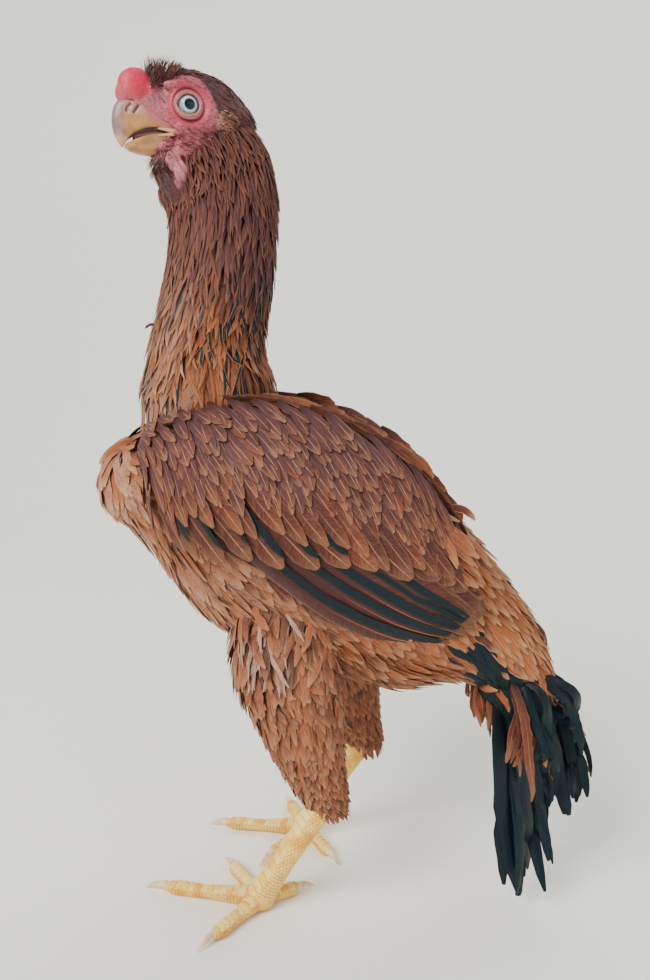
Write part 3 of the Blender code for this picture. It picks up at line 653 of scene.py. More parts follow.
down, tree, shader = finish_of("downy_skin", 0.8, Specular_IOR_Level=0.15)
tuft = noise(tree, 220.0, 5.0, 0.7)
colour = mixed(tree, eased(tree, tuft, 0.35, 0.7), (0.035, 0.014, 0.011), (0.13, 0.055, 0.032))
colour = mixed(tree, stored(tree, "dark"), colour, (0.022, 0.009, 0.011))
tree.links.new(colour, shader.inputs["Base Color"])
bump(tree, shader, tuft, 0.7, 1.2)
piece("body_skin", body_mesh, "brown_feather", down, "torso", "neck", "thigh_left", "thigh_right")

# %% [markdown]
# Feathers grow in rows, each set half a step aside of the row before, like tiles on a roof. Roots sit on
# the skin and tips on the solid's surface, so that each row covers the roots of the next. On the neck
# they are narrow and pointed, and they grow longer from the head down.

# %% Neck hackle
neck = tube(NECK)
a, b = staggered(
    neck, 8.0, 0.3, lambda a: np.interp(a, (0, 8), (9.0, 4.2)), lambda a: np.interp(a, (0, 8), (3.0, 1.55)))
bare_throat = ((a > 7.5) & (np.sin(b) > 0.3)) | ((a < 0.9) & (np.sin(b) > 0))
a, b = a[~bare_throat], b[~bare_throat]
chance = rng.uniform(size=len(a))
length = np.interp(a, (0, 2, 4, 6, 8), (44, 41, 34, 24, 14)) * rng.uniform(0.75, 1.2, len(a))
half = np.interp(a, (0, 3, 6, 8), (2.6, 1.9, 1.05, 0.62)) * rng.uniform(0.7, 1.3, len(a))
tip_lift = rng.uniform(-0.8, 1.2, len(a)) * np.interp(a, (4, 7), (1, 0.5))
tip_lift += np.interp(a, (0, 2, 8), (0.0, 1.0, 0.5))
line, normals = lay(
    neck, -1, a, b, -length, rng.normal(0, 0.15, len(a)), (np.interp(a, (4, 7), (-4.5, -3.0)), tip_lift), 7,
    sway=rng.normal(0, 0.25, len(a)), bow=0.7)
dark = darkness(line[:, 3])
black_tip = ((np.sin(b) < -0.35) & (a < 5.2) & (chance < 0.42)) | ((a < 5) & (chance < 0.08))
ring = np.linspace(0, 1, 7)
neck_vanes = vanes(
    line, normals, half, HACKLE_OUTLINE, bake_cell(a, b, (0.02, 0.55, 0.30, 0.42), (0, 8)), fray=0.14,
    lean=rng.normal(0, 0.18, (len(a), 1)),
    tone=varied(np.interp(a, (0, 3, 8), (0.48, 0.55, 0.45)), 0.2, len(a)),
    dark=np.clip(
        dark * np.interp(a, (0, 3, 5, 8), (0.86, 0.96, 0.82, 0.6))
        + rng.normal(0, 0.25, len(a)) * (0.5 + 0.5 * np.sin(math.pi * dark)), 0, 0.95),
    black=(black_tip[:, None] * smooth_step(0.25, 0.6, ring)[None])[..., None] * [0.3, 1, 0.3, 1],
    streak=0.25 + (1 - dark) * 0.5, edge=(0.22 + 0.4 * (1 - dark)) * rng.uniform(0.1, 1, len(a)),
    pale=0.2 * (1 - dark[:, None]) * (np.sin(b) > 0.2)[:, None] * rng.uniform(0, 1, (len(a), 1)),
)
print(len(a), "neck feathers")

# %% [markdown]
# The torso's feathers run from the crop to the rump and droop a little on the sides. The breast has short
# broad ones, the back and saddle long narrow ones, and the belly loose ones. Where the wings and the
# neck lie over them none are needed.

# %% Torso
torso = tube(TORSO)
a, b = staggered(torso, 0.7, 10.7, 7.75, 3.9)
point = torso(a, b)
under_wing = (np.sin(b) > 0.0) & (np.sin(b) < 0.72) & (a > 2.6) & (a < 6.3)
in_neck = ((point[:, 0] + 64) / 42) ** 2 + (point[:, 1] / 38) ** 2 < 1
in_neck &= point[:, 2] > 300
keep = ~under_wing & ~in_neck
a, b, point = a[keep], b[keep], point[keep]
chance = rng.uniform(size=len(a))
above, beneath = smooth_step(0.1, 0.7, np.sin(b)), smooth_step(0.1, 0.7, -np.sin(b))
rear = smooth_step(5.0, 8.0, a)
length = 34 + 5 * smooth_step(1, 4, a) + 14 * above * rear + 4 * beneath * rear
length *= rng.uniform(0.8, 1.25, len(a))
half = (3.9 - 1.3 * above * rear - 0.4 * beneath) * rng.uniform(0.7, 1.2, len(a))
slant = -0.28 * np.cos(b) + rng.normal(0, 0.13, len(a))
tip_lift = 0.8 + 1.2 * above * rear + rng.uniform(-0.8, 1.6, len(a))
tip_lift += 1.5 * beneath * rng.uniform(0, 1, len(a))
wing_edge = smooth_step(-0.6, -0.35, np.sin(b)) * smooth_step(2.0, 3.0, a) * (1 - smooth_step(6.6, 7.6, a))
tip_lift = tip_lift - 4.6 * wing_edge * (np.sin(b) < 0.72)
shoulder = smooth_step(0.5, 0.6, np.sin(b)) * (1 - smooth_step(0.80, 0.97, np.sin(b)))
shoulder *= smooth_step(1.9, 3.0, a) * (1 - smooth_step(5.9, 7.0, a))
line, normals = lay(torso, -1, a, b, length, slant, (-6.5 + 17 * shoulder, tip_lift + 12 * shoulder), 7,
                    sway=rng.normal(0, 0.2, len(a)), bow=0.75)
tone = 0.70 - 0.18 * smooth_step(1.0, 3.0, a) * (1 - beneath) + 0.16 * rear
tone -= 0.3 * beneath * smooth_step(2, 5, a)
tone = tone + 0.12 * rear * above + rng.normal(0, 0.16, len(a))
tip_x, tip_z = line[:, -1, 0] + rng.normal(0, 3, len(a)), line[:, -1, 2]
tail_side = (tip_z + 0.83 * tip_x < 303) & (tip_x > 116) & (a > 7)
tail_black = tail_side & (tip_x > 118 + 0.46 * (200 - tip_z)) & (chance < 0.94)
torso_vanes = vanes(
    line, normals, half, BODY_OUTLINE, bake_cell(a, b, (0.34, 0.55, 0.64, 0.42), (0, 11)), fray=0.13,
    lean=rng.normal(0, 0.12, (len(a), 1)),
    tone=np.clip(tone, 0, 1),
    dark=np.clip(0.12 * (1 - rear) + 0.35 * tail_side + rng.normal(0, 0.08, len(a)), 0, 1),
    black=1.0 * tail_black, streak=(0.35 + 0.3 * above) * (1 - tail_black),
    edge=(rng.uniform(0.1, 0.65, len(a)) + 0.3 * above * rear) * (1 - tail_black),
    pale=np.clip((1 - above) * (1 - smooth_step(3, 6, a)) * 0.10 * (chance < 0.6), 0, 1),
)
print(len(a), "torso feathers,", tail_black.sum(), "black")

lobe_sets = []
for side, middle in ((-1, BREAST_LOBE), (1, BREAST_LOBE), (0, FRONT_LOBE)):
    centre, size = np.array(middle, float)

    def lobe(a, b, centre=centre, size=size, side=side):
        """A ball, with a from its top down and b round it from the front."""
        ball = np.stack([-np.sin(a) * np.cos(b), np.sin(a) * np.sin(b), np.cos(a)], axis=-1)
        return ball * size + centre * [1, side, 1]

    reach = 1.9 if side else 1.15
    a, b = staggered(lobe, 0.5, 2.2, 7.0, 3.6, low=-reach, high=reach)
    slant = 0.45 * np.sin(b) + rng.normal(0, 0.15, len(a))
    line, normals = lay(
        lobe, -1, a, b, rng.uniform(24, 36, len(a)), slant, (-6.5, rng.uniform(0, 2.2, len(a))), 7, bow=0.75)
    lobe_sets.append(vanes(
        line, normals, rng.uniform(2.6, 4.2, len(a)), BODY_OUTLINE,
        bake_cell(a, b, (0.34 + 0.1 * (side + 1), 0.50, 0.15, 0.04), (0, 2)), fray=0.13,
        tone=varied(0.88, 0.16, len(a)), dark=0.05, streak=0.5,
        edge=rng.uniform(0.3, 0.9, len(a)), pale=rng.uniform(0, 0.25, len(a)),
    ))

STRAYS = (  # root, bend, tip and half width of feathers that stand out of the coat
    ((98, -8, 276), (112, -8, 281), (124, -8, 273), 2.8),
    ((158, -5, 204), (172, -5, 202), (180, -5, 188), 1.4),
    ((-96, -12, 391), (-99, -13, 393), (-103, -14, 390), 1.2),
    ((-96, -22, 318), (-114, -30, 314), (-127, -33, 300), 2.2),
)
line = through(*(np.array([row[k] for row in STRAYS], float) for k in range(3)), 12)
lobe_sets.append(vanes(
    line, unit(np.array([0.2, -1.0, 0.5])) + 0 * line, [row[3] for row in STRAYS], BODY_OUTLINE,
    np.array([0.5, 0.6]) + rng.uniform(0, 0.1, (4, 2)), tone=[0.5, 0.2, 0.5, 0.9], dark=[0.5, 0.8, 0.9, 0.0],
    edge=[0.8, 0.2, 0, 0.9],
))

# %% Thighs
thigh_sets = []
for side in (-1, 1):
    thigh = tube(THIGH, side, LEG_SETBACK[side])
    a, b = staggered(
        thigh, 0.5, 5.75,
        lambda a: np.interp(a, (0, 6), (8.0, 3.6)), lambda a: np.interp(a, (3, 6), (2.9, 2.4)))
    chance = rng.uniform(size=len(a))
    wispy = (chance < 0.34) & (a > 0.2) & (a < 1.7) & (np.sin(b) < 0.25)
    length = np.interp(a, (0, 3, 6), (34, 25, 10)) * rng.uniform(0.8, 1.2, len(a))
    half = np.interp(a, (0, 3, 6), (2.7, 2.5, 1.6)) * rng.uniform(0.7, 1.3, len(a)) * (1 - 0.5 * wispy)
    puff = 6.0 * (1 - smooth_step(0.8, 2.6, a)) * smooth_step(0.1, 0.9, -np.sin(b))
    puff = puff + 3.4 * smooth_step(4.2, 5.2, a) * smooth_step(0.0, 0.6, np.sin(b))
    line, normals = lay(
        thigh, -1, a, b, length, rng.normal(0, 0.2, len(a)),
        (-4.2 + 0.6 * puff, puff + rng.uniform(0.2, 2.6, len(a))), 6,
        sway=rng.normal(0, 0.25, len(a)), bow=0.75)
    thigh_sets.append(vanes(
        line, normals, half, BODY_OUTLINE,
        bake_cell(a, b, (0.02 + 0.24 * (side + 1), 0.02, 0.2, 0.2), (0, 6)),
        fray=0.16, lean=rng.normal(0, 0.18, (len(a), 1)),
        tone=varied(0.55, 0.2, len(a)), dark=0.12, streak=0.4,
        edge=rng.uniform(0.1, 0.5, len(a)),
        pale=0.36 * wispy + 0.03,
    ))
print(sum(len(one["quads"]) for one in thigh_sets), "faces on the thighs")

# %% [markdown]
# A folded wing is a stack of tiers. The flight feathers lie lowest, and greater, median and lesser
# coverts follow, each tier over the roots of the one before. Their centre lines are straight in the
# wing's own two numbers, so they wrap round it. Each inner web is blue-black and mostly covered,
# and it shows as dark stripes between the brown outer webs.

# %% Wings
WING_TIERS = (  # name, number, root from and to, tip from and to, half width, lifts, rings, black, tone
    ("primaries", 6, (3.5, -0.66), (3.9, -0.40), (6.2, -1.5), (7.2, -1.2),
     6.4, (-3.8, -2.0), 14, 1.0, 0.14),
    ("secondaries", 9, (2.0, -0.38), (3.9, 0.46), (6.9, -1.5), (7.35, 0.62),
     8.6, (-1.6, 0.9), 16, 1.0, 0.08),
    ("greater coverts", 11, (1.1, -0.32), (4.6, 0.48), (2.1, -1.02), (6.0, 0.38),
     7.6, (-1.2, 1.7), 11, 0.85, 0.15),
    ("median coverts", 16, (0.8, 0.02), (4.4, 0.54), (1.7, -0.74), (5.4, 0.26),
     5.6, (-0.9, 2.4), 9, 0.1, 0.24),
)
wing_sets = {-1: [], 1: []}


def wing_cell(side, a, b):
    """Each wing has a cell of its own on the unwrap."""
    return bake_cell(a, b, (0.02 + 0.24 * (side + 1), 0.25, 0.2, 0.24), (0, 8), (-1.5, 1.5))


for side in (-1, 1):
    sheet = wing_sheet(side)
    for name, number, root_from, root_to, tip_from, tip_to, half, lifts, rings, ink, tone in WING_TIERS:
        share = np.linspace(0, 1, number)[:, None]
        root, tip = (
            np.array(first) + (np.array(last) - first) * share + rng.normal(0, loose, (number, 2))
            for first, last, loose in ((root_from, root_to, 0.02), (tip_from, tip_to, 0.045)))
        t = np.linspace(0, 1, rings)
        bent = (t * t - t)[None, :, None] * np.array([0.0, 0.10])
        path = root[:, None] + (tip - root)[:, None] * t[None, :, None] + bent
        way_out = outward(sheet, path[..., 0], path[..., 1], -side)
        stack = share * (3.0 if name == "primaries" else 1.4)
        lift = lifts[0] + (lifts[1] - lifts[0]) * t + stack
        upper_rim = np.array([1, 0.4, 0, 0.4] if side < 0 else [0, 0.4, 1, 0.4])
        ending = 1 - smooth_step(0.86, 0.98, t)
        topmost = 1 - smooth_step(0.55, 0.7, share)[..., None]
        inner_web = ink * topmost * upper_rim * ending[None, :, None] * rng.uniform(0.8, 1.15, (number, 1, 1))
        lowest = (share < 0.07) * (name == "secondaries") * 0.06
        sag = 9.0 * (name == "secondaries") * (1 - share) * t**2
        wing_sets[side].append(vanes(
            sheet(path[..., 0], path[..., 1]) + way_out * lift[..., None] - sag[..., None] * UP, way_out,
            half * rng.uniform(0.92, 1.08, number), FLIGHT_OUTLINE if rings > 10 else BODY_OUTLINE,
            wing_cell(side, *root.T), lean=-side * 0.12, cup=0.09, thick=0.4, fray=0.05,
            tone=varied(tone, 0.08, number), dark=(0.42 * (1 - t) + 0.07)[None] + 0.14 * share**2,
            black=np.broadcast_to(inner_web, (number, rings, 4)), streak=0.5, edge=np.full(number, 0.16),
            pale=lowest[..., None] * (1 - np.sign(upper_rim))[None, None] + 0 * inner_web,
        ))
    a, b = staggered(sheet, 0.1, 6.2, 7.0, 4.8, low=-0.98, high=1.10, loose=0.3)
    boundary = np.interp(a, (0, 0.8, 1.6, 4.4, 6.2), (-0.95, -0.35, 0.10, 0.52, 0.72))
    keep = b > boundary + rng.normal(0, 0.03, len(a))
    a, b = a[keep], b[keep]
    length = np.interp(a, (0, 1.5, 6), (19, 29, 33)) * rng.uniform(0.85, 1.15, len(a))
    half = np.interp(a, (0, 1.5, 6), (2.8, 3.7, 3.9)) * rng.uniform(0.8, 1.2, len(a))
    slant = np.interp(a, (0, 1, 3, 6), (-1.0, -0.85, -0.65, -0.35)) + rng.normal(0, 0.08, len(a))
    line, normals = lay(sheet, -side, a, b, length, slant, (-0.8, rng.uniform(1.8, 3.0, len(a))), 7, bow=0.8,
                        sway=rng.normal(0, 0.12, len(a)))
    wing_sets[side].append(vanes(
        line, normals, half, BODY_OUTLINE,
        wing_cell(side, a, b), fray=0.14, cup=0.12,
        lean=rng.normal(-side * 0.05, 0.09, (len(a), 1)),
        tone=varied(np.interp(a, (0, 3, 6), (0.30, 0.20, 0.58)), 0.12, len(a)),
        dark=np.clip(rng.normal(np.interp(a, (0, 3.4, 5.5), (0.74, 0.74, 0.34))[:, None], 0.1, (len(a), 1))
                     - 0.4 * smooth_step(0.5, 1.0, np.linspace(0, 1, 7))[None], 0, 1),
        streak=0.75, edge=rng.uniform(0.0, 0.3, len(a)),
    ))

    def inner_face(a, b, sheet=sheet, side=side):
        """The wing's face toward the body, which meets the outer one at the upper rim."""
        inward = WING_DEPTH * side * (1 - smooth_step(0.85, 1.15, b))
        return sheet(a, b) - inward[..., None] * [0, 1.0, 0]

    a, b = staggered(inner_face, 0.8, 6.6, 8.0, 5.5, low=0.15, high=1.13)
    line, normals = lay(
        inner_face, side, a, b, rng.uniform(24, 32, len(a)), rng.normal(-0.1, 0.07, len(a)), (0.3, 1.0), 6)
    wing_sets[side].append(vanes(
        line, normals, rng.uniform(3.5, 4.6, len(a)), BODY_OUTLINE,
        wing_cell(side, a, b), fray=0.12, cup=0.1,
        tone=varied(0.45, 0.15, len(a)), dark=0.35, streak=0.5, edge=rng.uniform(0, 0.35, len(a)),
    ))

# %% [markdown]
# The tail hangs. Its feathers are long, glossy and ragged, and each has a curve of its own from its root
# through a bend to its tip. Short coverts hide the roots.

# %% Tail
TAIL_VANES = (  # root, bend and tip, then the half width, as in the solids
    ((146, -12, 170), (159, -22, 95), (174, -25, 12), 12),
    ((152, -8, 168), (176, -14, 100), (193, -14, 33), 9),
    ((158, -2, 166), (186, -4, 118), (203, -3, 66), 12),
    ((162, 2, 164), (200, 2, 126), (220, 2, 78), 8),
    ((166, -6, 166), (196, -10, 150), (207, -10, 115), 8.5),
    ((148, 4, 170), (166, 8, 100), (178, 8, 28), 11),
    ((154, 6, 168), (180, 12, 108), (196, 12, 50), 10),
    ((160, 8, 166), (192, 16, 122), (210, 17, 74), 10),
    ((150, -16, 172), (164, -26, 138), (169, -29, 104), 9),
    ((158, -14, 170), (176, -23, 142), (183, -25, 110), 9),
    ((152, 12, 172), (168, 20, 138), (175, 22, 100), 9.5),
    ((162, 10, 170), (184, 17, 146), (194, 18, 112), 9),
    ((132, -9, 172), (136, -14, 152), (141, -15, 130), 9),
    ((134, 7, 172), (140, 10, 150), (146, 10, 126), 9),
)
BROWN_TAIL = (8, 10, 12, 13)  # coverts and under-tail feathers with brown in them
TAIL_COPIES = 8
TAIL_RINGS = 18
points = np.array([vane[:3] for vane in TAIL_VANES], float)
half = np.array([vane[3] for vane in TAIL_VANES], float)
browner = np.isin(np.arange(len(half)), BROWN_TAIL).astype(float)
points, half, browner = (np.repeat(values, TAIL_COPIES, axis=0) for values in (points, half, browner))
copy = np.tile(np.arange(TAIL_COPIES), len(TAIL_VANES))[:, None]
spread = rng.normal(0, 1, points.shape) * (copy[..., None] > 0) * [[[2, 3, 2], [4, 4, 5], [5, 5, 9]]]
points = points + spread - (copy[..., None] > 0) * [[[0, 0, 0], [2, 0, -4], [6, 0, -10]]]
line = through(*np.moveaxis(points, 1, 0), TAIL_RINGS)
t = np.linspace(0, 1, TAIL_RINGS)[None, :, None]
ripple = rng.normal(0, 1.0, (len(half), 1, 1)) * np.sin(t * math.pi * rng.uniform(1, 2, (len(half), 1, 1)))
face = np.sign(points[:, 1:2, 1:2] + 3)
way_out = np.concatenate([0.35 + 0.25 * ripple, face + 0 * t, 0 * t + 0 * face], axis=-1)
tangent = unit(np.gradient(line, axis=1))
way_out = unit(way_out - (way_out * tangent).sum(axis=-1, keepdims=True) * tangent)
curl = rng.normal(0, 1.0, (len(half), 1, 1)) * smooth_step(0.6, 1.0, t) ** 2
line = line + way_out * (ripple * 2.2 + curl * 7)
tail_sets = [vanes(
    line, way_out, half * rng.uniform(0.24, 0.52, len(half)) * (1 - 0.25 * browner), FLIGHT_OUTLINE,
    np.array([0.72, 0.3]) + rng.uniform(0, 0.15, (len(half), 2)), lean=rng.normal(0, 0.16, (len(half), 1)),
    cup=0.22, thick=0.5, fray=0.11,
    tone=0.38 + rng.normal(0, 0.12, len(half)), dark=0.25,
    black=1.0 - 0.9 * browner, streak=0.5 * browner, edge=0.2 * browner,
)]
tail_root = tube(TAIL_CORE)
a, b = staggered(tail_root, 0.1, 3.6, 6.5, 4.4)
brown = rng.uniform(size=len(a)) < np.interp(a, (0, 2, 4), (0.35, 0.25, 0.1))
line, normals = lay(
    tail_root, -1, a, b, np.interp(a, (0, 4), (32, 42)) * rng.uniform(0.8, 1.2, len(a)),
    rng.normal(0, 0.2, len(a)), (-2.5, rng.uniform(0.5, 3.5, len(a))), 9, sway=rng.normal(0, 0.3, len(a)))
tail_sets.append(vanes(
    line, normals, rng.uniform(2.8, 4.6, len(a)), BODY_OUTLINE,
    bake_cell(a, b, (0.72, 0.02, 0.26, 0.2), (0, 4)),
    fray=0.16, lean=rng.normal(0, 0.15, (len(a), 1)), tone=varied(0.55, 0.15, len(a)),
    black=1.0 - brown, edge=0.4 * brown, streak=0.3 * brown,
))

# %% [markdown]
# Each region becomes one joined mesh, small enough to bake and to keep whole.

# %% Join the coat
coat("neck_feathers", [neck_vanes], "brown_feather")
coat("body_feathers", [torso_vanes, *lobe_sets], "brown_feather")
for side, word in WORDS.items():
    coat("thigh_feathers_" + word, [thigh_sets[(side + 1) // 2]], "brown_feather")
    wing_piece = coat("wing_feathers_" + word, wing_sets[side], "brown_feather")
    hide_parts("wing_" + word)
tail_piece = coat("tail_feathers", tail_sets, "dark_feather")
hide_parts("tail")

# %% [markdown]
# The head gets the most care. Its skin, comb, ear lobes, jowls and throat are one closed surface, made
# finer than the body's. Everything here is measured in the head's own frame: its beak points along -x,
# and it is turned and tilted into place by the same angles as the solids.

# %% Head skin
HEAD = (  # x, y, z, half height down, half height up, half width
    (36, 0, -17, 5, 7, 7), (31, 0, -14, 11, 14, 15), (22, 0, -8, 18, 21, 19), (8, 0, -2, 25.5, 27, 20),
    (-8, 0, 1, 24, 28, 18.5), (-20, 0, 2, 15, 23, 14.5), (-31, 0, 5, 10, 12, 10), (-38, 0, 5, 6, 6, 6.5),
)
THROAT = (  # x, y, z, half depth to the rear, half depth to the front, half width
    (-19, 0, -19, 10, 12, 8), (-16, 0, -28, 14, 14.5, 11), (-12, 0, -38, 20, 16, 15),
    (-7, 0, -50, 24, 17, 18.5), (-3, 0, -60, 26, 18, 20),
)
MIDDLE_LUMPS = (  # place, then half sizes: the comb's three fused lobes, the skin under them and the forehead
    ((-35.8, 0, 17.9), (11.4, 8.8, 10.2)), ((-41.8, 0, 12.9), (7.4, 7.0, 7.8)), ((-33, 0, 14), (7, 8.6, 9)),
    ((-36, 0, 4), (8.5, 8.4, 6.5)), ((-25, 0, 14), (9.5, 9.5, 9.8)),
)
PAIRED_LUMPS = (  # the comb's sides, brow, cheek, jaw, ear lobe and the two folds of the dewlap
    ((-38, 4.6, 13.5), (8.4, 4.8, 7.0)), ((-10, 13.9, 15), (12, 4.6, 4)),
    ((-6, 14.0, -11.5), (13, 4.6, 7)), ((-18, 8.0, -18.8), (12, 3.9, 5.2)), ((-4, 14.0, -21), (14, 5.2, 8)),
    ((8, 15.5, -24), (12, 5.5, 9)),
    ((15.5, 18.3, -9.5), (6.6, 4.0, 8.6)),
    ((-19.5, 12.6, -29), (5.2, 3.0, 6.5)),
    ((-15.5, 15.0, -36.5), (4.8, 2.8, 6.8)),
)
HEAD_VOXEL = 0.72

head_grids = [tube_grid(HEAD, 64, 56, 0.6), tube_grid(THROAT, 30, 32)]
head_grids += [ellipsoid(np.array(place), np.array(size)) for place, size in MIDDLE_LUMPS]
for side in (-1, 1):
    head_grids += [ellipsoid(np.array(place) * [1, side, 1], np.array(size)) for place, size in PAIRED_LUMPS]
rough_head = closed_shell("rough_head", [on_head(grid) for grid in head_grids], HEAD_VOXEL, 5)


def in_head_frame(points):
    return (points - HEAD_PLACE) @ HEAD_TURN


def quads_of(mesh):
    """The four corners of every face, from a mesh that has only quads."""
    corners = np.zeros(len(mesh.loops), np.int32)
    mesh.loops.foreach_get("vertex_index", corners)
    return corners.reshape(-1, 4)


def normals_of(mesh):
    return vectors_of(mesh.vertex_normals, len(mesh.vertices), "vector").astype(float)


def near(points, place, size):
    """1 inside an ellipsoid and 0 from one and a half times its size, on both sides of the head."""
    away = np.linalg.norm((points * [1, np.sign(place[1] or 1), 1] - place) / size, axis=-1)
    if place[1]:
        away = np.minimum(away, np.linalg.norm((points * [1, -1, 1] - place) / size, axis=-1))
    return 1 - smooth_step(0.8, 1.4, away)


def ripples(points, period, waves=14):
    """Soft random bumps: the mean of plane waves sin(k.p + phase) of about one period."""
    ways = unit(rng.normal(size=(waves, 3))) * (2 * math.pi / (period * rng.uniform(0.8, 1.3, (waves, 1))))
    return np.sin(points @ ways.T + rng.uniform(0, 6.3, waves)).mean(axis=-1) * 2.2


# %% [markdown]
# Round each eye the skin is pressed in so that the ball shows. Heights are measured along the eye's own
# axis, which points to the side and a little forward. The lids are separate rings with fine wrinkles:
# their cross-section is a closed curve in distance from the axis and height along it.

# %% Eye sockets and lids
SOCKET = ((0, 5.6), (4, 4.6), (6, 3.0), (8.2, 3.3), (9.3, 3.9), (10.2, 4.8), (12.0, 5.5))  # distance, height
LID = ((6.1, 3.3), (6.3, 4.6), (6.65, 5.5), (7.2, 6.0), (7.8, 6.0), (8.5, 5.5), (9.1, 4.7), (9.7, 3.7),
       (9.5, 2.6), (8.3, 1.8), (6.9, 2.0), (6.1, 3.3))

skin = in_head_frame(vertices_of(rough_head))
normals = normals_of(rough_head) @ HEAD_TURN
to_eye, crease = np.full(len(skin), 99.0), np.zeros(len(skin))
eye_axes = {side: np.array([0.0, side, 0.0]) for side in (-1, 1)}
for side, axis in eye_axes.items():
    from_eye = skin - EYE_SEAT * [1, side, 1]
    height = from_eye @ axis
    distance = np.linalg.norm(from_eye - height[:, None] * axis, axis=1)
    distance = np.where(height > -4, distance, 99.0)
    wanted_height = np.interp(distance, *np.array(SOCKET).T)
    share = 1 - smooth_step(10.2, 14.0, distance)
    skin += (share * (wanted_height - height))[:, None] * axis
    to_eye = np.minimum(to_eye, distance)
    # Painted shade: a dark band in the crease round the eye, strongest above and below it.
    crease = np.maximum(crease, np.exp(-((distance - 10.0) / 0.8) ** 2) * (from_eye[:, 2] / distance) ** 2)

x, y, z = skin.T
comb = near(skin, (-37, 0, 17.0), (11.8, 11, 10.8))
around_eye = 1 - smooth_step(11, 17, to_eye)
ear = near(skin, (15.5, 18.5, -9.5), (7.4, 8, 9.2))
dewlap = near(skin, (-17.5, 14, -32.5), (7, 6, 10.5))
top_edge = np.interp(x, (-34, -24, -12, 0, 6, 9), (14, 19, 23.5, 21.5, 14, 4))
rear_edge = np.interp(z, (-42, -36, -26, -14, 0, 6, 14), (-2, 8, 18, 21, 9.5, 9, 5))
feathered = np.maximum(smooth_step(-1, 1.5, z - top_edge) * (x > -31), smooth_step(-1, 1.5, x - rear_edge))
feathered = np.maximum(feathered, smooth_step(-33, -39, z) * (1 - dewlap))
feathered = np.maximum(feathered, smooth_step(-26, -30, z) * (1 - smooth_step(9, 13, np.abs(y))))
feathered *= (1 - comb) * (1 - around_eye)
folds = smooth_step(-26, -18, x) * (1 - smooth_step(14, 24, x))
folds *= smooth_step(-8, -13, z) * smooth_step(-42, -34, z)
fold_place = z + 12 + 0.42 * (x + 15) + 1.2 * ripples(skin, 14)
relief = 0.42 * folds * (1 - dewlap) * np.sin(fold_place * 2 * math.pi / 3.0)
relief += 0.5 * dewlap * np.sin((x + 0.5 * z) * 2 * math.pi / 4.4 + ripples(skin, 10))
relief += (0.16 + 0.18 * ear) * ripples(skin, 2.3) * (1 - comb) * smooth_step(8, 13, to_eye)
relief += 0.15 * comb * ripples(skin, 5.5) + 0.07 * comb * ripples(skin, 2.0)
horn_line = np.interp(
    x, (-41, -34, -32.5, -29.6, -25, -20.4, -16.4, -14), (8, 4.5, -0.5, -3.3, -4.3, -6, -10.6, -13))
horn_above = (x < -13) * (z > -13) * smooth_step(0, 1.0, horn_line - z)
horn_below = (z < -12.5) * smooth_step(0, 1.0, np.interp(z, (-26, -13), (-32, -20)) - x)
relief -= 1.6 * np.maximum(horn_above, horn_below)
skin = skin + relief[:, None] * normals

lid_parts = []
LID_TURNS, LID_ROWS = 132, 39
phi, place = np.meshgrid(
    turns_of(LID_TURNS), np.linspace(0, len(LID) - 1, LID_ROWS + 1)[:-1], indexing="ij")
profile = smooth_at(LID, place)
for side, axis in eye_axes.items():
    forward = unit(np.cross(axis, UP)) * -side
    corner = np.exp(-((((phi + math.pi) % (2 * math.pi) - math.pi) / 0.40) ** 2))
    lower = np.exp(-(((phi - 1.5 * math.pi) / 0.95) ** 2))
    inmost = 1 - smooth_step(7, 10.5, profile[..., 0])
    stretch = 1 + 0.13 * corner - 0.07 * np.exp(-(((phi - math.pi / 2) / 0.9) ** 2)) - 0.17 * lower
    outer = smooth_step(6.7, 7.6, profile[..., 0]) * (profile[..., 1] > 3)
    stretch = stretch + 0.04 * outer * np.sin(2 * phi + 0.8) + 0.025 * outer * np.sin(5 * phi)
    wrinkles = (profile[..., 0] - 7) * 2 * math.pi + 0.9 * np.sin(3 * phi) + 0.6 * np.sin(7 * phi + 1)
    wave = 0.26 * np.sin(wrinkles)
    wave += 0.10 * np.sin(31 * phi + 2.2 * np.sin(5 * phi) + profile[..., 0] * 1.5)
    out = profile[..., 0] * (1 + (stretch - 1) * inmost)
    high = profile[..., 1] + wave * outer - 0.4 * corner + 0.9 * lower * inmost
    ring = EYE_SEAT * [1, side, 1] + high[..., None] * axis
    ring = ring + (out * np.cos(phi))[..., None] * forward + (out * np.sin(phi))[..., None] * UP
    quads = grid_quads(LID_TURNS + 1, LID_ROWS) % (LID_TURNS * LID_ROWS)
    pale = 0.85 - 0.45 * np.exp(-(((phi - math.pi / 2) / 0.9) ** 2)) + 0.9 * wave
    paler = (1 - smooth_step(8.4, 9.8, profile[..., 0])) * pale
    rim = (1 - smooth_step(6.35, 6.9, profile[..., 0])) * 0.9
    # Painted shade: the lid's outer fold above and below the eye gets the dark crease colour.
    lid_crease_shade = smooth_step(8.9, 9.5, profile[..., 0]) * np.sin(phi) ** 2
    lid_parts.append((ring.reshape(-1, 3), quads, np.clip(paler, 0, 1).ravel(), rim.ravel(), lid_crease_shade.ravel()))


def joined(name, parts):
    """One mesh from (points, quads, {name: numbers}) parts, in the frame of the tables."""
    starts = np.cumsum([0] + [len(points) for points, _, _ in parts[:-1]])
    mesh = mesh_of(name, np.concatenate([points for points, _, _ in parts]),
                   np.concatenate([quads + start for (_, quads, _), start in zip(parts, starts)]))
    for word in sorted({word for _, _, numbers in parts for word in numbers}):
        values = [full(numbers.get(word, 0.0), (len(points),)) for points, _, numbers in parts]
        set_numbers(mesh, **{word: np.concatenate(values)})
    return mesh


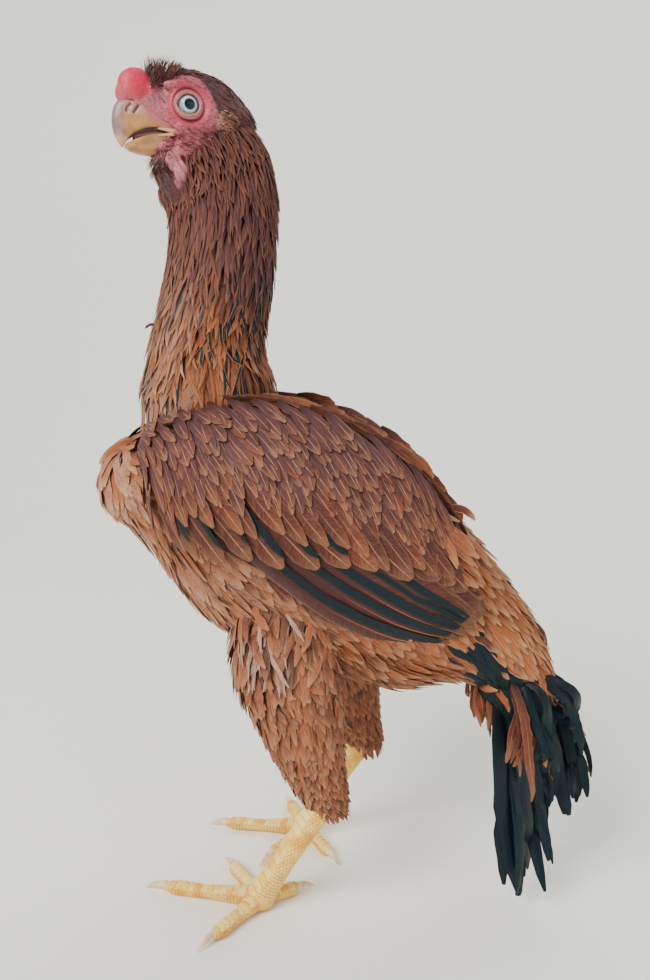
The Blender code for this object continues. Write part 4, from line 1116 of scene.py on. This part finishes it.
skin_masks = {
    "crease": crease, "comb": comb, "red": around_eye * 0.9, "ear": ear, "dewlap": dewlap, "folds": folds,
    "dark": feathered, "muzzle": smooth_step(-32, -38, x) * (1 - comb) * 0.8,
    "violet": smooth_step(-17, -24, x) * smooth_step(0, 8, z) * (1 - comb),
}
parts = [(on_head(skin), quads_of(rough_head), skin_masks)]
parts += [(on_head(points), quads, {"lid": lid, "red": (1 - lid) * 0.9, "rim": rim, "crease": lid_crease_shade})
          for points, quads, lid, rim, lid_crease_shade in lid_parts]
head_mesh = joined("head_skin", parts)

# %% [markdown]
# The colours of the face are mixed one over the other by the masks; the crease colour is painted shade in
# the creases round the eyes. Fine pebbles and creases come from two noises, and a little light passes
# through the thin skin.

# %% Face material
# The crease colour below is painted shade in the creases round the eyes and along the lids.
FACE_COLOURS = (
    ("violet", (0.19, 0.038, 0.062)), ("red", (0.46, 0.036, 0.065)), ("muzzle", (0.50, 0.26, 0.235)),
    ("folds", (0.36, 0.070, 0.095)), ("ear", (0.19, 0.085, 0.060)), ("dewlap", (0.45, 0.145, 0.155)),
    ("comb", (0.60, 0.010, 0.048)), ("lid", (0.50, 0.20, 0.17)), ("crease", (0.115, 0.012, 0.030)),
    ("rim", (0.10, 0.06, 0.065)), ("dark", (0.030, 0.012, 0.014)),
)
face, tree, shader = finish_of(
    "face_skin", 0.46, Subsurface_Weight=0.12, Subsurface_Scale=0.003, Specular_IOR_Level=0.42)
shader.inputs["Subsurface Radius"].default_value = (1.0, 0.35, 0.25)
where = add(tree, "TexCoord").outputs["Object"]
blotch = noise(tree, 130.0, 5.0, 0.6)
pebble = add(tree, "TexVoronoi", {"Vector": where, "Scale": 1050.0, "Randomness": 1.0}).outputs["Distance"]
crease = noise(tree, 900.0, 3.0, 0.55)
colour = mixed(tree, eased(tree, blotch, 0.32, 0.68), (0.33, 0.065, 0.095), (0.47, 0.115, 0.14))
colour = tinted(tree, colour, FACE_COLOURS)
colour = mixed(tree, times(tree, eased(tree, pebble, 0.35, 0.85), 0.30), colour, (0.16, 0.028, 0.045))
colour = mixed(tree, times(tree, eased(tree, crease, 0.5, 0.75), 0.11), colour, (0.80, 0.52, 0.48))
tree.links.new(colour, shader.inputs["Base Color"])
grain = minus(tree, times(tree, crease, 0.8), times(tree, pebble, 0.8))
bump(tree, shader, grain, 0.6, 0.35)
piece("head_skin", head_mesh, "face_skin", face,
      "head", "comb", "ear_left", "ear_right", "wattle_left", "wattle_right")

# %% [markdown]
# The eye is a whole ball with a wet coat. Its colour depends only on the angle from the axis: pupil,
# pearl iris with fine rays, and a grey rim that runs under the lids.

# %% Eyes
BALL_ROWS, BALL_TURNS = 64, 96
eye_finish, tree, shader = finish_of(
    "eye_wet", 0.22, Coat_Weight=1.0, Coat_Roughness=0.02, Coat_IOR=1.34, Specular_IOR_Level=0.08)
angle = stored(tree, "angle")
ray_place = {"X": times(tree, stored(tree, "turn"), 9.0), "Y": times(tree, angle, 0.04)}
rays = noise(tree, 1.0, 4.0, 0.7, where=add(tree, "CombineXYZ", ray_place).outputs[0])
ragged = plus(tree, angle, times(tree, rays, 3.0))
colour = mixed(tree, eased(tree, rays, 0.3, 0.7), (0.25, 0.36, 0.41), (0.56, 0.66, 0.69))
colour = mixed(tree, eased(tree, ragged, 29.5, 26.0), colour, (0.0012, 0.010, 0.015))
colour = mixed(tree, eased(tree, ragged, 39.0, 46.0), colour, (0.11, 0.115, 0.12))
colour = mixed(tree, stored(tree, "corner"), colour, (0.33, 0.31, 0.36))
tree.links.new(colour, shader.inputs["Base Color"])
for side, axis in eye_axes.items():
    u, v = np.meshgrid(
        np.linspace(0, math.pi, BALL_ROWS + 2)[1:-1], turns_of(BALL_TURNS), indexing="ij")
    forward = unit(np.cross(axis, UP)) * -side
    way = np.cos(u)[..., None] * axis + (np.sin(u) * np.cos(v))[..., None] * forward
    way = way + (np.sin(u) * np.sin(v))[..., None] * UP
    seat = EYE_SEAT * [1, side, 1]
    ball = (seat + EYE_RADIUS * way).reshape(-1, 3)
    ball = np.concatenate([ball, [seat + EYE_RADIUS * axis, seat - EYE_RADIUS * axis]])
    edge = np.arange(BALL_TURNS)
    beside, pole = (edge + 1) % BALL_TURNS, np.full(BALL_TURNS, BALL_ROWS * BALL_TURNS)
    back = (BALL_ROWS - 1) * BALL_TURNS
    caps = [(edge, beside, pole), (beside + back, edge + back, pole + 1)]
    eye_mesh = bpy.data.meshes.new("eyeball")
    faces = grid_quads(BALL_ROWS, BALL_TURNS).tolist()
    faces += [row for cap in caps for row in np.stack(cap, axis=1).tolist()]
    eye_mesh.from_pydata(((on_head(ball) + SHIFT) * MM).tolist(), [], faces)
    if side < 0:
        eye_mesh.flip_normals()
    eye_mesh.shade_smooth()
    degrees = np.degrees(np.append(u.ravel(), [0.0, math.pi]))
    turns = np.append(v.ravel(), [0.0, 0.0])
    front = smooth_step(28, 40, degrees) * smooth_step(0.6, 0.85, np.cos(turns))
    set_numbers(eye_mesh, angle=degrees, turn=turns, corner=front * 0.8)
    piece("eyeball_" + WORDS[side], eye_mesh, "eye", eye_finish, "eye_" + WORDS[side])

# %% [markdown]
# The horn of the beak is made of rings too, but each ring has a flat, sharp lower edge. A ring is given
# by the point on its ridge and the point on its cutting edge. The side goes between them as
# edge + (ridge - edge) |sin b|^0.85, with y = half width |cos b|^0.75, and the palate closes it below.

# %% Beak
UPPER_BEAK = (  # ridge x, ridge z, edge x, edge z, half width
    (-22, 7.0, -14, -13.0, 11.5), (-31, 8.0, -19.5, -11.0, 11.1), (-39.5, 9.6, -27, -9.0, 9.9),
    (-46.6, 9.2, -34, -9.2, 8.6), (-50.8, 5.2, -39.5, -10.9, 7.4), (-52.8, -1.0, -43.2, -13.2, 6.1),
    (-53.2, -7.0, -45.3, -15.4, 4.9), (-52.2, -12.0, -46.6, -17.2, 3.6), (-50.8, -15.8, -47.6, -18.4, 2.4),
    (-49.3, -18.4, -48.4, -19.0, 1.0),
)
LOWER_BEAK = (
    (-13, -22.0, -13, -12.6, 10.4), (-20.5, -23.4, -20, -12.4, 9.9), (-28.5, -24.0, -28, -12.6, 9.0),
    (-35.5, -23.6, -35, -13.5, 7.6), (-41, -22.4, -40.2, -15.1, 6.0), (-44.8, -20.9, -44.0, -16.3, 4.3),
    (-47.0, -19.3, -46.4, -17.4, 2.4),
)
NOSTRIL_SLITS = (((-44.4, 1.2), (-43.4, 3.6)), ((-43.4, 3.6), (-41.4, 5.3)), ((-40.3, 0.0), (-36.2, 4.9)))
GAPE = (  # the yellow fold round the corner of the mouth: x, y, z, radius
    (-27, 10.0, -9.6, 0.5), (-22, 10.9, -10.4, 1.0), (-17.6, 11.8, -11.4, 1.3), (-15.4, 12.2, -12.3, 1.4),
    (-17.4, 11.6, -13.1, 1.25), (-21.5, 10.4, -13.4, 1.0), (-27, 9.2, -13.5, 0.5),
)


def horn(stations, rows, columns, palate):
    """Rings from ridge and edge points, and the closing fans at both ends as rings of no width."""
    a, b = places_on(stations, rows, columns)
    row = smooth_at(stations, a)
    over = np.sin(b) > 0
    climb = np.where(over, np.abs(np.sin(b)) ** 0.85, palate * np.abs(np.sin(b)))
    aside = np.sign(np.cos(b)) * np.where(over, np.abs(np.cos(b)) ** 0.75, 0.98 * np.abs(np.cos(b)) ** 0.9)
    rings = np.stack([row[..., 2] + (row[..., 0] - row[..., 2]) * climb, row[..., 4] * aside,
                      row[..., 3] + (row[..., 1] - row[..., 3]) * climb], axis=-1)
    return with_ends(rings)


def from_segment(points, start, end):
    """The distance of each (x, z) from a segment."""
    start, end = np.array(start), np.array(end)
    share = np.clip(((points - start) @ (end - start)) / ((end - start) @ (end - start)), 0, 1)
    return np.linalg.norm(points - start - share[..., None] * (end - start), axis=-1)


upper = horn(UPPER_BEAK, 150, 120, 0.10)
slit = np.min([from_segment(upper[..., ::2], *ends) for ends in NOSTRIL_SLITS], axis=0)
on_side = (np.abs(upper[..., 1]) > 3) & (upper[..., 2] > -6)
# The nostril slits are pressed in, and the same mask paints them near black: painted shade inside the
# nostrils.
pit = np.exp(-((slit / 0.72) ** 2)) * on_side
flap = np.exp(-(((upper[..., 0] + 40.9) / 1.9) ** 2) - (((upper[..., 2] - 2.6) / 2.4) ** 2)) * on_side
side_way = np.sign(upper[..., 1])
upper[..., 1] += side_way * (0.9 * flap - 1.7 * pit + 0.10 * ripples(upper, 6.0) * on_side)
x, y, z = np.moveaxis(upper, -1, 0)
ridge_like = np.exp(-((y / 6.0) ** 2))
palate = np.broadcast_to(np.arange(x.shape[1]) > x.shape[1] // 2 + 1, x.shape)
rim_line = np.interp(x, (-41, -34, -30, -20.4, -16.4), (9, 5, -3.3, -6, -10.6))
upper_masks = {
    "cere": smooth_step(-49, -44, x) * smooth_step(-3.5, 1.5, z) * 0.9, "pit": pit,
    "blush": smooth_step(-4.0, -0.6, z - rim_line),
    "streak": ridge_like * smooth_step(-44, -48, x) * smooth_step(-15, -10, z), "mouth": palate * 0.85,
    "flush": smooth_step(-47, -50, x) * smooth_step(-7, -11, z) * smooth_step(-19, -14, z), "gape": 0 * x,
}
lower = horn(LOWER_BEAK, 110, 100, 0.30)
lower[..., 1] += 0.12 * ripples(lower, 6.0)


def gape_tube(side):
    """A round tube along the gape's table."""
    a, b = places_on(GAPE, 50, 16)
    row = smooth_at(GAPE, a)
    ahead = unit(smooth_at(GAPE, a + 0.05)[..., :3] - smooth_at(GAPE, a - 0.05)[..., :3])
    aside = np.array([0.0, 1.0, 0.0])
    across = unit(np.cross(ahead, aside))
    ring = row[..., :3] + row[..., 3:] * (np.cos(b)[..., None] * across + 0.9 * np.sin(b)[..., None] * aside)
    return ring * [1, side, 1]


# The pit colour is painted shade in the nostril slits.
BEAK_COLOURS = (
    ("cere", (0.46, 0.21, 0.175)), ("blush", (0.42, 0.11, 0.12)), ("flush", (0.56, 0.27, 0.20)),
    ("streak", (0.17, 0.115, 0.15)), ("gape", (0.60, 0.33, 0.16)), ("mouth", (0.24, 0.10, 0.13)),
    ("pit", (0.045, 0.022, 0.025)),
)
horn_finish, tree, shader = finish_of(
    "beak_horn", 0.34, Specular_IOR_Level=0.5, Subsurface_Weight=0.08, Subsurface_Scale=0.002)
where = add(tree, "TexCoord").outputs["Object"]
cloud = noise(tree, 150.0, 5.0, 0.6)
stretched = add(tree, "Mapping", {"Vector": where, "Scale": (260.0, 900.0, 900.0)}).outputs[0]
growth = noise(tree, 1.0, 3.0, 0.6, where=stretched)
colour = mixed(tree, eased(tree, cloud, 0.3, 0.7), (0.31, 0.135, 0.040), (0.53, 0.250, 0.090))
colour = tinted(tree, colour, BEAK_COLOURS)
colour = mixed(tree, times(tree, eased(tree, growth, 0.5, 0.8), 0.22), colour, (0.20, 0.12, 0.09))
tree.links.new(colour, shader.inputs["Base Color"])
tree.links.new(plus(tree, 0.34, times(tree, stored(tree, "mouth"), 0.6)), shader.inputs["Roughness"])
bump(tree, shader, growth, 0.35, 0.25)


def grid_part(rings, masks):
    """Points, quads and masks of closed rings, for joined()."""
    masks = {word: np.ravel(value) for word, value in masks.items()}
    return rings.reshape(-1, 3), grid_quads(*rings.shape[:2]), masks


TONGUE = (
    (-14, 0, -12.4, 1.2, 1.3, 7), (-22, 0, -11.7, 1.3, 1.4, 7.6), (-31, 0, -11.9, 1.2, 1.3, 6.6),
    (-37, 0, -12.6, 1.0, 1.0, 4.2), (-41, 0, -13.6, 0.5, 0.5, 1.6),
)
beak_parts = {
    "upper": [(upper, upper_masks), *((gape_tube(side), {"gape": 1.0}) for side in (-1, 1))],
    "lower": [(lower, {"cere": 0.25 * smooth_step(-36, -26, lower[..., 0])}),
              (tube_grid(TONGUE, 40, 24), {"mouth": 0.55, "cere": 0.8})],
}
for word, parts in beak_parts.items():
    mesh = joined(word + "_beak", [grid_part(on_head(rings), masks) for rings, masks in parts])
    piece(word + "_beak", mesh, "horn", horn_finish, "beak_" + word)
mouth_grid = ellipsoid(np.array([-17.0, 0, -12.0]), np.array([9.0, 9.4, 3.2]), 40, 24)
mouth_mesh = closed_shell("mouth", [on_head(mouth_grid)], 0.9, 2)
set_numbers(mouth_mesh, mouth=np.full(len(mouth_mesh.vertices), 1.0))
piece("mouth_lining", mouth_mesh, "face_skin", horn_finish)

# %% [markdown]
# Feathers on the head are small, and bristles smaller still. Their roots are picked from the skin's own
# points: one per little cell of space, which spreads them evenly. Each one runs along a flow over the
# skin, bends with the head's roundness and lifts towards its tip.

# %% Feathers of the head
HEAD_ROUND = 24.0
skin_now = in_head_frame(vertices_of(head_mesh))[:len(skin)]
skin_normals = (normals_of(head_mesh) @ HEAD_TURN)[:len(skin)]


def picked(mask, cell):
    """One random point of the mask in each cubic cell."""
    order = rng.permutation(np.flatnonzero(mask))
    _, first = np.unique(np.floor(skin_now[order] / cell).astype(int), axis=0, return_index=True)
    return order[first]


def on_skin(roots, flow, length, half, lift, sink=0.5, rings=5, hug=1.0, outline=HACKLE_OUTLINE, **marks):
    """Vanes from skin points: root + flow t - normal (length t)^2 / (2 round) + normal lift t."""
    base, out = skin_now[roots], skin_normals[roots]
    flow = flow + rng.normal(0, 0.10, flow.shape)
    way = unit(flow - hug * (flow * out).sum(axis=1, keepdims=True) * out)
    t = np.linspace(0, 1, rings)[None, :, None]
    length, lift = (np.asarray(values)[:, None, None] for values in (length, lift))
    rise = (lift + sink) * t - sink - hug * (length * t) ** 2 / (2 * HEAD_ROUND)
    line = base[:, None] + way[:, None] * length * t + out[:, None] * rise
    seam = np.stack([0.03 + 0.9 * (np.arctan2(base[:, 1], base[:, 2]) / (2 * math.pi) + 0.5),
                     0.05 + 0.9 * (base[:, 0] + 55) / 105], axis=1)
    normals = np.broadcast_to(out[:, None], line.shape) + 0.25 * rng.normal(size=(len(roots), 1, 3))
    return vanes(on_head(line), normals @ HEAD_TURN.T, half, outline, seam, thick=0.25, fray=0.1, **marks)


x, y, z = skin_now.T
rear_share = smooth_step(2, 34, x)
flow = np.stack([1 + 0 * x, 0.05 * y, -0.12 - 1.5 * rear_share - 1.4 * smooth_step(-20, -42, z)], axis=1)
head_sets = []
roots = picked((feathered > 0.45) & (z > -30) & (x > -30), 1.9)
number = len(roots)
head_sets.append(on_skin(
    roots, flow[roots], rng.uniform(6, 8, number) + 4 * rear_share[roots], rng.uniform(0.75, 1.25, number),
    rng.uniform(0.3, 1.3, number), rings=6, tone=varied(0.35, 0.2, number),
    dark=np.clip(rng.normal(0.9, 0.1, number) - 0.38 * smooth_step(14, -8, z[roots]), 0, 1),
    edge=rng.uniform(0, 0.25, number),
))
roots = picked((feathered > 0.45) & (z <= -26), 1.8)
number = len(roots)
head_sets.append(on_skin(
    roots, flow[roots] * [0.5, 1, 1], rng.uniform(7, 12, number), rng.uniform(0.32, 0.62, number),
    rng.uniform(0.5, 2.4, number), tone=varied(0.45, 0.25, number),
    dark=varied(0.8, 0.2, number, 0.97), edge=rng.uniform(0, 0.3, number),
))
crown_sets, head_sets = head_sets, []
roots = picked(ear > 0.45, 1.15)
number = len(roots)
head_sets.append(on_skin(
    roots, flow[roots] + rng.normal(0, 0.25, (number, 3)), rng.uniform(3, 5.5, number),
    rng.uniform(0.28, 0.5, number), rng.uniform(0.6, 1.8, number), rings=4, tone=varied(0.75, 0.25, number),
    dark=varied(0.35, 0.25, number, 0.9), pale=rng.uniform(0, 0.3, number), edge=0.3,
))
bare_face = (feathered < 0.4) & (dewlap < 0.6) & (ear < 0.3) & (comb < 0.2)
bare_face &= (to_eye[:len(x)] > 12.5) & (x > -26)
roots = picked(bare_face & ((z < -9) | (rng.uniform(size=len(x)) < 0.2)), 1.8)
number = len(roots)
low_face = smooth_step(-8, -18, z[roots])
head_sets.append(on_skin(
    roots, flow[roots], 2.5 + low_face * rng.uniform(1.5, 5.5, number),
    0.09 + 0.09 * low_face * rng.uniform(0.6, 1.2, number), rng.uniform(0.5, 1.4, number), rings=4, tone=0.5,
    dark=np.where(rng.uniform(size=number) < 0.65, 0.9, 0.2),
    pale=np.where(rng.uniform(size=number) < 0.15, 0.6, 0.0),
))
beside_comb = (comb < 0.5) | ((comb < 0.8) & (x > -30) & (z < 24))
band = (x > -36) & (x < -9) & (z > 8) & beside_comb & (z > 11 + 0.5 * (x + 31))
roots = picked(band, 1.0)
number = len(roots)
high = smooth_step(12, 25, z[roots])
up_flow = np.stack([
    0.55 - 0.25 * high + 0.55 * smooth_step(-28, -8, x[roots]) + rng.normal(0, 0.16, number),
    0.05 * y[roots] + rng.normal(0, 0.12, number), np.full(number, 1.0),
], axis=1)
shorter_behind = 1 - 0.55 * smooth_step(-24, -12, x[roots])
longer_middle = 1 + 0.5 * np.exp(-((x[roots] + 19) / 6) ** 2)
head_sets.append(on_skin(
    roots, up_flow,
    (rng.uniform(4, 7, number) + 7 * high * rng.uniform(0.1, 1, number)) * shorter_behind * longer_middle,
    rng.uniform(0.14, 0.30, number),
    rng.uniform(0.5, 2.0, number), hug=0.25, tone=varied(0.5, 0.25, number),
    dark=varied(0.85, 0.2, number), edge=rng.uniform(0, 0.3, number),
    pale=np.where(rng.uniform(size=number) < 0.08, 0.5, 0.0),
))
chin = (x < -20) & (x > -36) & (z < -20) & (z > -34) & (np.abs(y) < 12)
roots = picked(chin, 1.7)
number = len(roots)
beard_flow = np.stack([-0.25 + rng.normal(0, 0.2, number), 0.04 * y[roots], np.full(number, -1.0)], axis=1)
head_sets.append(on_skin(
    roots, beard_flow, rng.uniform(3, 6.5, number), rng.uniform(0.13, 0.26, number),
    rng.uniform(1.0, 4.0, number), hug=0.2,
    tone=varied(0.5, 0.2, number), dark=varied(0.8, 0.25, number),
    pale=np.where(rng.uniform(size=number) < 0.12, 0.5, 0.0),
))
coat("crown_feathers", crown_sets, "dark_feather")
coat("face_bristles", head_sets, "dark_feather")

# %% [markdown]
# Shanks and toes carry real scales. A limb is a tube of rings along its middle line, and the height of
# each point is worked out from its place: large plates in front that overlap like a saw's teeth, each
# rising as its share f of the plate goes from 0 to 1, and small domed scales at the sides and behind.

# %% Legs
SHANK_SHAPE = (  # share of the length, radius
    (0, 2.5), (0.02, 5.4), (0.05, 7.6), (0.09, 8.9), (0.15, 9.0), (0.4, 7.7), (0.7, 7.6), (0.9, 8.6),
    (1, 9.2),
)
TOE_SHAPE = ((0, 6.6), (0.3, 5.5), (0.6, 4.9), (0.85, 4.6), (0.96, 3.6), (1, 2.2))
TOE_HEIGHT = ((0, 7.6), (0.3, 6.2), (0.6, 4.9), (0.85, 4.5), (1, 4.2))
TOES = {  # degrees outward from straight ahead, length, number of plates
    -1: {"middle": (5, 69, 15), "inner": (54, 45, 9), "outer": (-57, 46, 10), "hind": (143, 30, 6)},
    1: {"middle": (1, 64, 14), "inner": (-58, 42, 9), "outer": (66, 41, 9), "hind": (-128, 34, 7)},
}
CLAW_LENGTH = 14.0
CLAW_SHAPE = (  # share of the length, radius, rise
    (-0.3, 2.4, 0.4), (-0.05, 2.9, 0.7), (0.3, 2.5, 0.5), (0.65, 1.6, -0.7), (0.9, 0.8, -2.3),
    (1, 0.25, -3.2),
)
LIMB_STEP = 0.6
FLOOR_LIFT = 0.12


def limb(path, radius, dorsal, plate, columns, rows_of_plates, deep=1.0):
    """Rings round a path, with scale relief, and the masks of the plates and of the gaps between scales."""
    step = np.linalg.norm(np.diff(path, axis=0), axis=1)
    s = np.concatenate([[0], np.cumsum(step)])[:, None]
    theta = (np.arange(columns) * 2 * math.pi / columns)[None]
    theta = (theta + math.pi) % (2 * math.pi) - math.pi
    tangent = unit(np.gradient(path, axis=0))
    beside = unit(np.cross(tangent, dorsal))
    above = np.cross(beside, tangent)
    zone = 1.20
    column = (theta > 0) * (rows_of_plates - 1)
    centre = (zone / 2 * np.sign(theta)) * (rows_of_plates - 1)
    across = (theta - centre) / (zone / rows_of_plates)
    place = s / plate + 0.5 * column - 0.20 * across**2 + 0.06 * np.sin(s * 0.9 + theta)
    number = np.floor(place).astype(int)
    f = place - number
    chance = rng.uniform(size=400)[(number + 37 * column.astype(int)) % 400]
    rise = np.where(f < 0.88, f / 0.88, (1 - f) / 0.12)
    plates = smooth_step(*((1.0, 0.86) if rows_of_plates == 1 else (1.03, 0.9)), np.abs(across))
    relief = plates * (0.10 + (0.55 + 0.3 * chance) * rise)
    u = s / 2.5
    v = (theta - 0.5 * (np.floor(u) % 2) * 2.5 / radius[:, None]) * radius[:, None] / 2.5
    dome = (np.abs(np.sin(math.pi * u)) * np.abs(np.sin(math.pi * v))) ** 0.45
    behind = (1 - plates) * smooth_step(zone - 0.25, zone + 0.1, np.abs(theta))
    relief = relief + behind * 0.42 * dome
    reach = radius[:, None] + relief * smooth_step(0, 2.5, radius[:, None])
    rings = (path[:, None] + (reach * np.cos(theta) * deep)[..., None] * above[:, None]
             + (reach * np.sin(theta))[..., None] * beside[:, None])
    gap = np.maximum(plates * (1 - smooth_step(0.0, 0.16, f)), behind * (1 - smooth_step(0.25, 0.6, dome)))
    masks = {"gap": gap, "plate": plates + 0 * s, "chance": chance}
    masks = {word: np.pad(mask, ((1, 1), (0, 0)), mode="edge") for word, mask in masks.items()}
    return with_ends(rings, path), masks


def leg_part(rings, masks):
    """The same for a leg's rings, kept just above the floor."""
    rings = rings.copy()
    rings[..., 2] = np.maximum(rings[..., 2], FLOOR_LIFT)
    return grid_part(rings, masks)


scale, tree, shader = finish_of(
    "leg_scales", 0.46, Specular_IOR_Level=0.3, Subsurface_Weight=0.06, Subsurface_Scale=0.002)
cloud = noise(tree, 70.0, 4.0, 0.6)
fine = noise(tree, 1100.0, 3.0)
colour = mixed(tree, eased(tree, cloud, 0.38, 0.60), (0.80, 0.38, 0.04), (0.95, 0.64, 0.13))
uneven = eased(tree, plus(tree, stored(tree, "chance"), cloud), 0.85, 1.35)
chalky = times(tree, stored(tree, "plate"), uneven)
colour = mixed(tree, times(tree, chalky, 0.6), colour, (0.99, 0.82, 0.30))
colour = mixed(tree, times(tree, stored(tree, "gap"), 0.85), colour, (0.38, 0.15, 0.04))
colour = mixed(tree, times(tree, eased(tree, fine, 0.55, 0.8), 0.25), colour, (0.40, 0.24, 0.12))
tree.links.new(colour, shader.inputs["Base Color"])
bump(tree, shader, fine, 0.35, 0.18)

claw_finish, tree, shader = finish_of("claw_horn", 0.38, Specular_IOR_Level=0.35)
cloud = noise(tree, 240.0, 4.0)
colour = mixed(tree, eased(tree, cloud, 0.35, 0.7), (0.90, 0.68, 0.42), (0.66, 0.43, 0.25))
tree.links.new(colour, shader.inputs["Base Color"])

for side, word in WORDS.items():
    foot = np.array([*FOOT_PLACE[side], 9.0])
    hock = np.array([HOCK[0] + LEG_SETBACK[side], side * HOCK[1], HOCK[2]])
    share = np.linspace(-0.12, 1.0, 170)
    path = hock + (foot - hock) * share[:, None]
    radius = np.interp(share, *np.array(SHANK_SHAPE).T) - 0.5
    parts = [leg_part(*limb(path, radius, [-1.0, 0, 0], 6.3, 112, 2, deep=1.06))]
    pad = ellipsoid(foot * [1, 1, 0] + [0, 0, 7.6], np.array([10.2, 10.2, 9.0]), 80, 60)
    pad += unit(pad - foot) * (0.35 * ripples(pad, 3.2))[..., None]
    bare = 0 * pad[..., 0]
    parts.append(leg_part(pad, {"plate": bare, "gap": bare + 0.3, "chance": bare}))
    for name, (degrees, length, plates) in TOES[side].items():
        way = np.array([-math.cos(math.radians(degrees)), math.sin(math.radians(degrees)), 0.0])
        share = np.linspace(0, 1, int(length / LIMB_STEP))
        path = foot * [1, 1, 0] + way * (share * length)[:, None]
        path[:, 2] = np.interp(share, *np.array(TOE_HEIGHT).T)
        radius = np.interp(share, *np.array(TOE_SHAPE).T) - 0.45
        joints = np.sin(share * math.pi * 2.6 + 0.4) * 0.45 * smooth_step(0, 0.2, share)
        radius = np.maximum(radius + joints * (share < 0.94), 1.0)
        rings, masks = limb(path, radius, UP, length / plates, 64, 1)
        parts.append(leg_part(rings, masks))
        a, b = places_on(CLAW_SHAPE, 44, 28)
        row = smooth_at(CLAW_SHAPE, a)
        height = row[..., 1] * np.sin(b) * np.where(np.sin(b) > 0, 1.15, 0.8)
        aside = np.cross(UP, way)
        claw = path[-1] + way * (row[..., :1] * CLAW_LENGTH)
        claw += aside * (row[..., 1] * np.cos(b) * 0.85)[..., None]
        claw[..., 2] = np.maximum(path[-1, 2] + row[..., 2] + height, FLOOR_LIFT)
        claw = with_ends(claw)
        tag = word + "_" + name
        mesh = mesh_of("claw_" + tag, claw.reshape(-1, 3), grid_quads(*claw.shape[:2]))
        piece("claw_horn_" + tag, mesh, "horn", claw_finish, "claw_" + tag)
    solids = ["shank_" + word, *("toe_" + word + "_" + name for name in TOES[side])]
    piece("leg_skin_" + word, joined("leg_skin_" + word, parts), "leg_scale", scale, *solids)

# %% [markdown]
# The picture's viewing angle was worked out from the ellipses of the round lid in it. The camera stands
# at her left side, a little behind the middle and above her back, looks slightly down and leans.

# %% Camera, light and floor
CAMERA_PLACE = (59.0, -544.8, 372.0)
CAMERA_AZIMUTH, CAMERA_DOWN, CAMERA_LEAN = 4.0, 8.9, -2.73
LENS, SENSOR = 29.39, 36.0

azimuth, down_by, lean = (math.radians(angle) for angle in (CAMERA_AZIMUTH, CAMERA_DOWN, CAMERA_LEAN))
ahead = Vector((
    -math.sin(azimuth) * math.cos(down_by), math.cos(azimuth) * math.cos(down_by), -math.sin(down_by)))
level_right = Vector((math.cos(azimuth), math.sin(azimuth), 0.0))
level_down = ahead.cross(level_right)
right = level_right * math.cos(lean) + level_down * math.sin(lean)
up = right.cross(ahead)
camera = placed("camera", bpy.data.cameras.new("camera"))
camera.data.lens, camera.data.sensor_width = LENS, SENSOR
camera.data.clip_start = 0.01
camera.matrix_world = Matrix.Translation((Vector(CAMERA_PLACE) + Vector(SHIFT)) * MM) @ Matrix(
    (right, up, -ahead)
).transposed().to_4x4()
bpy.context.scene.camera = camera

stage_material, _, shader = finish_of("pale_floor", 0.85)
shader.inputs["Base Color"].default_value = (0.98, 0.975, 0.895, 1.0)
turn = np.linspace(0, math.pi / 2, 12)
bend = np.stack([1.0 + np.sin(turn), 1 - np.cos(turn)], axis=1)
profile = np.concatenate([[[-6.0, 0.0], [1.0, 0.0]], bend, [[2.0, 9.0]]])
across = np.linspace(-12, 12, 3)
sweep = np.stack([
    np.broadcast_to(across, (len(profile), 3)),
    np.broadcast_to(profile[:, :1], (len(profile), 3)),
    np.broadcast_to(profile[:, 1:], (len(profile), 3)),
], axis=-1).reshape(-1, 3)
floor_mesh = bpy.data.meshes.new("floor")
floor_mesh.from_pydata(sweep.tolist(), [], grid_quads(len(profile), 3, closed=False).tolist())
floor_mesh.shade_smooth()
floor_mesh.materials.append(stage_material)
floor = placed("floor", floor_mesh)


def area_light(name, place, power, size, colour=(1.0, 1.0, 1.0)):
    """A soft square light that faces the middle of the hen."""
    lamp = bpy.data.lights.new(name, "AREA")
    lamp.energy, lamp.size, lamp.color = power, size, colour
    obj = placed(name, lamp)
    obj.location = place
    obj.rotation_euler = (Vector((0, 0, 0.28)) - Vector(place)).to_track_quat("-Z", "Y").to_euler()


area_light("window", (-1.4, -1.7, 1.9), 92.0, 1.3, (1.0, 0.985, 0.96))
area_light("fill", (1.9, -1.3, 0.9), 11.0, 1.8, (0.95, 0.98, 1.0))
area_light("behind", (1.3, 1.6, 2.4), 26.0, 1.4)
world = bpy.data.worlds.new("studio")
bpy.context.scene.world = world
world.use_nodes = True
world.node_tree.nodes["Background"].inputs[0].default_value = (0.93, 0.95, 1.0, 1.0)
world.node_tree.nodes["Background"].inputs[1].default_value = 0.66
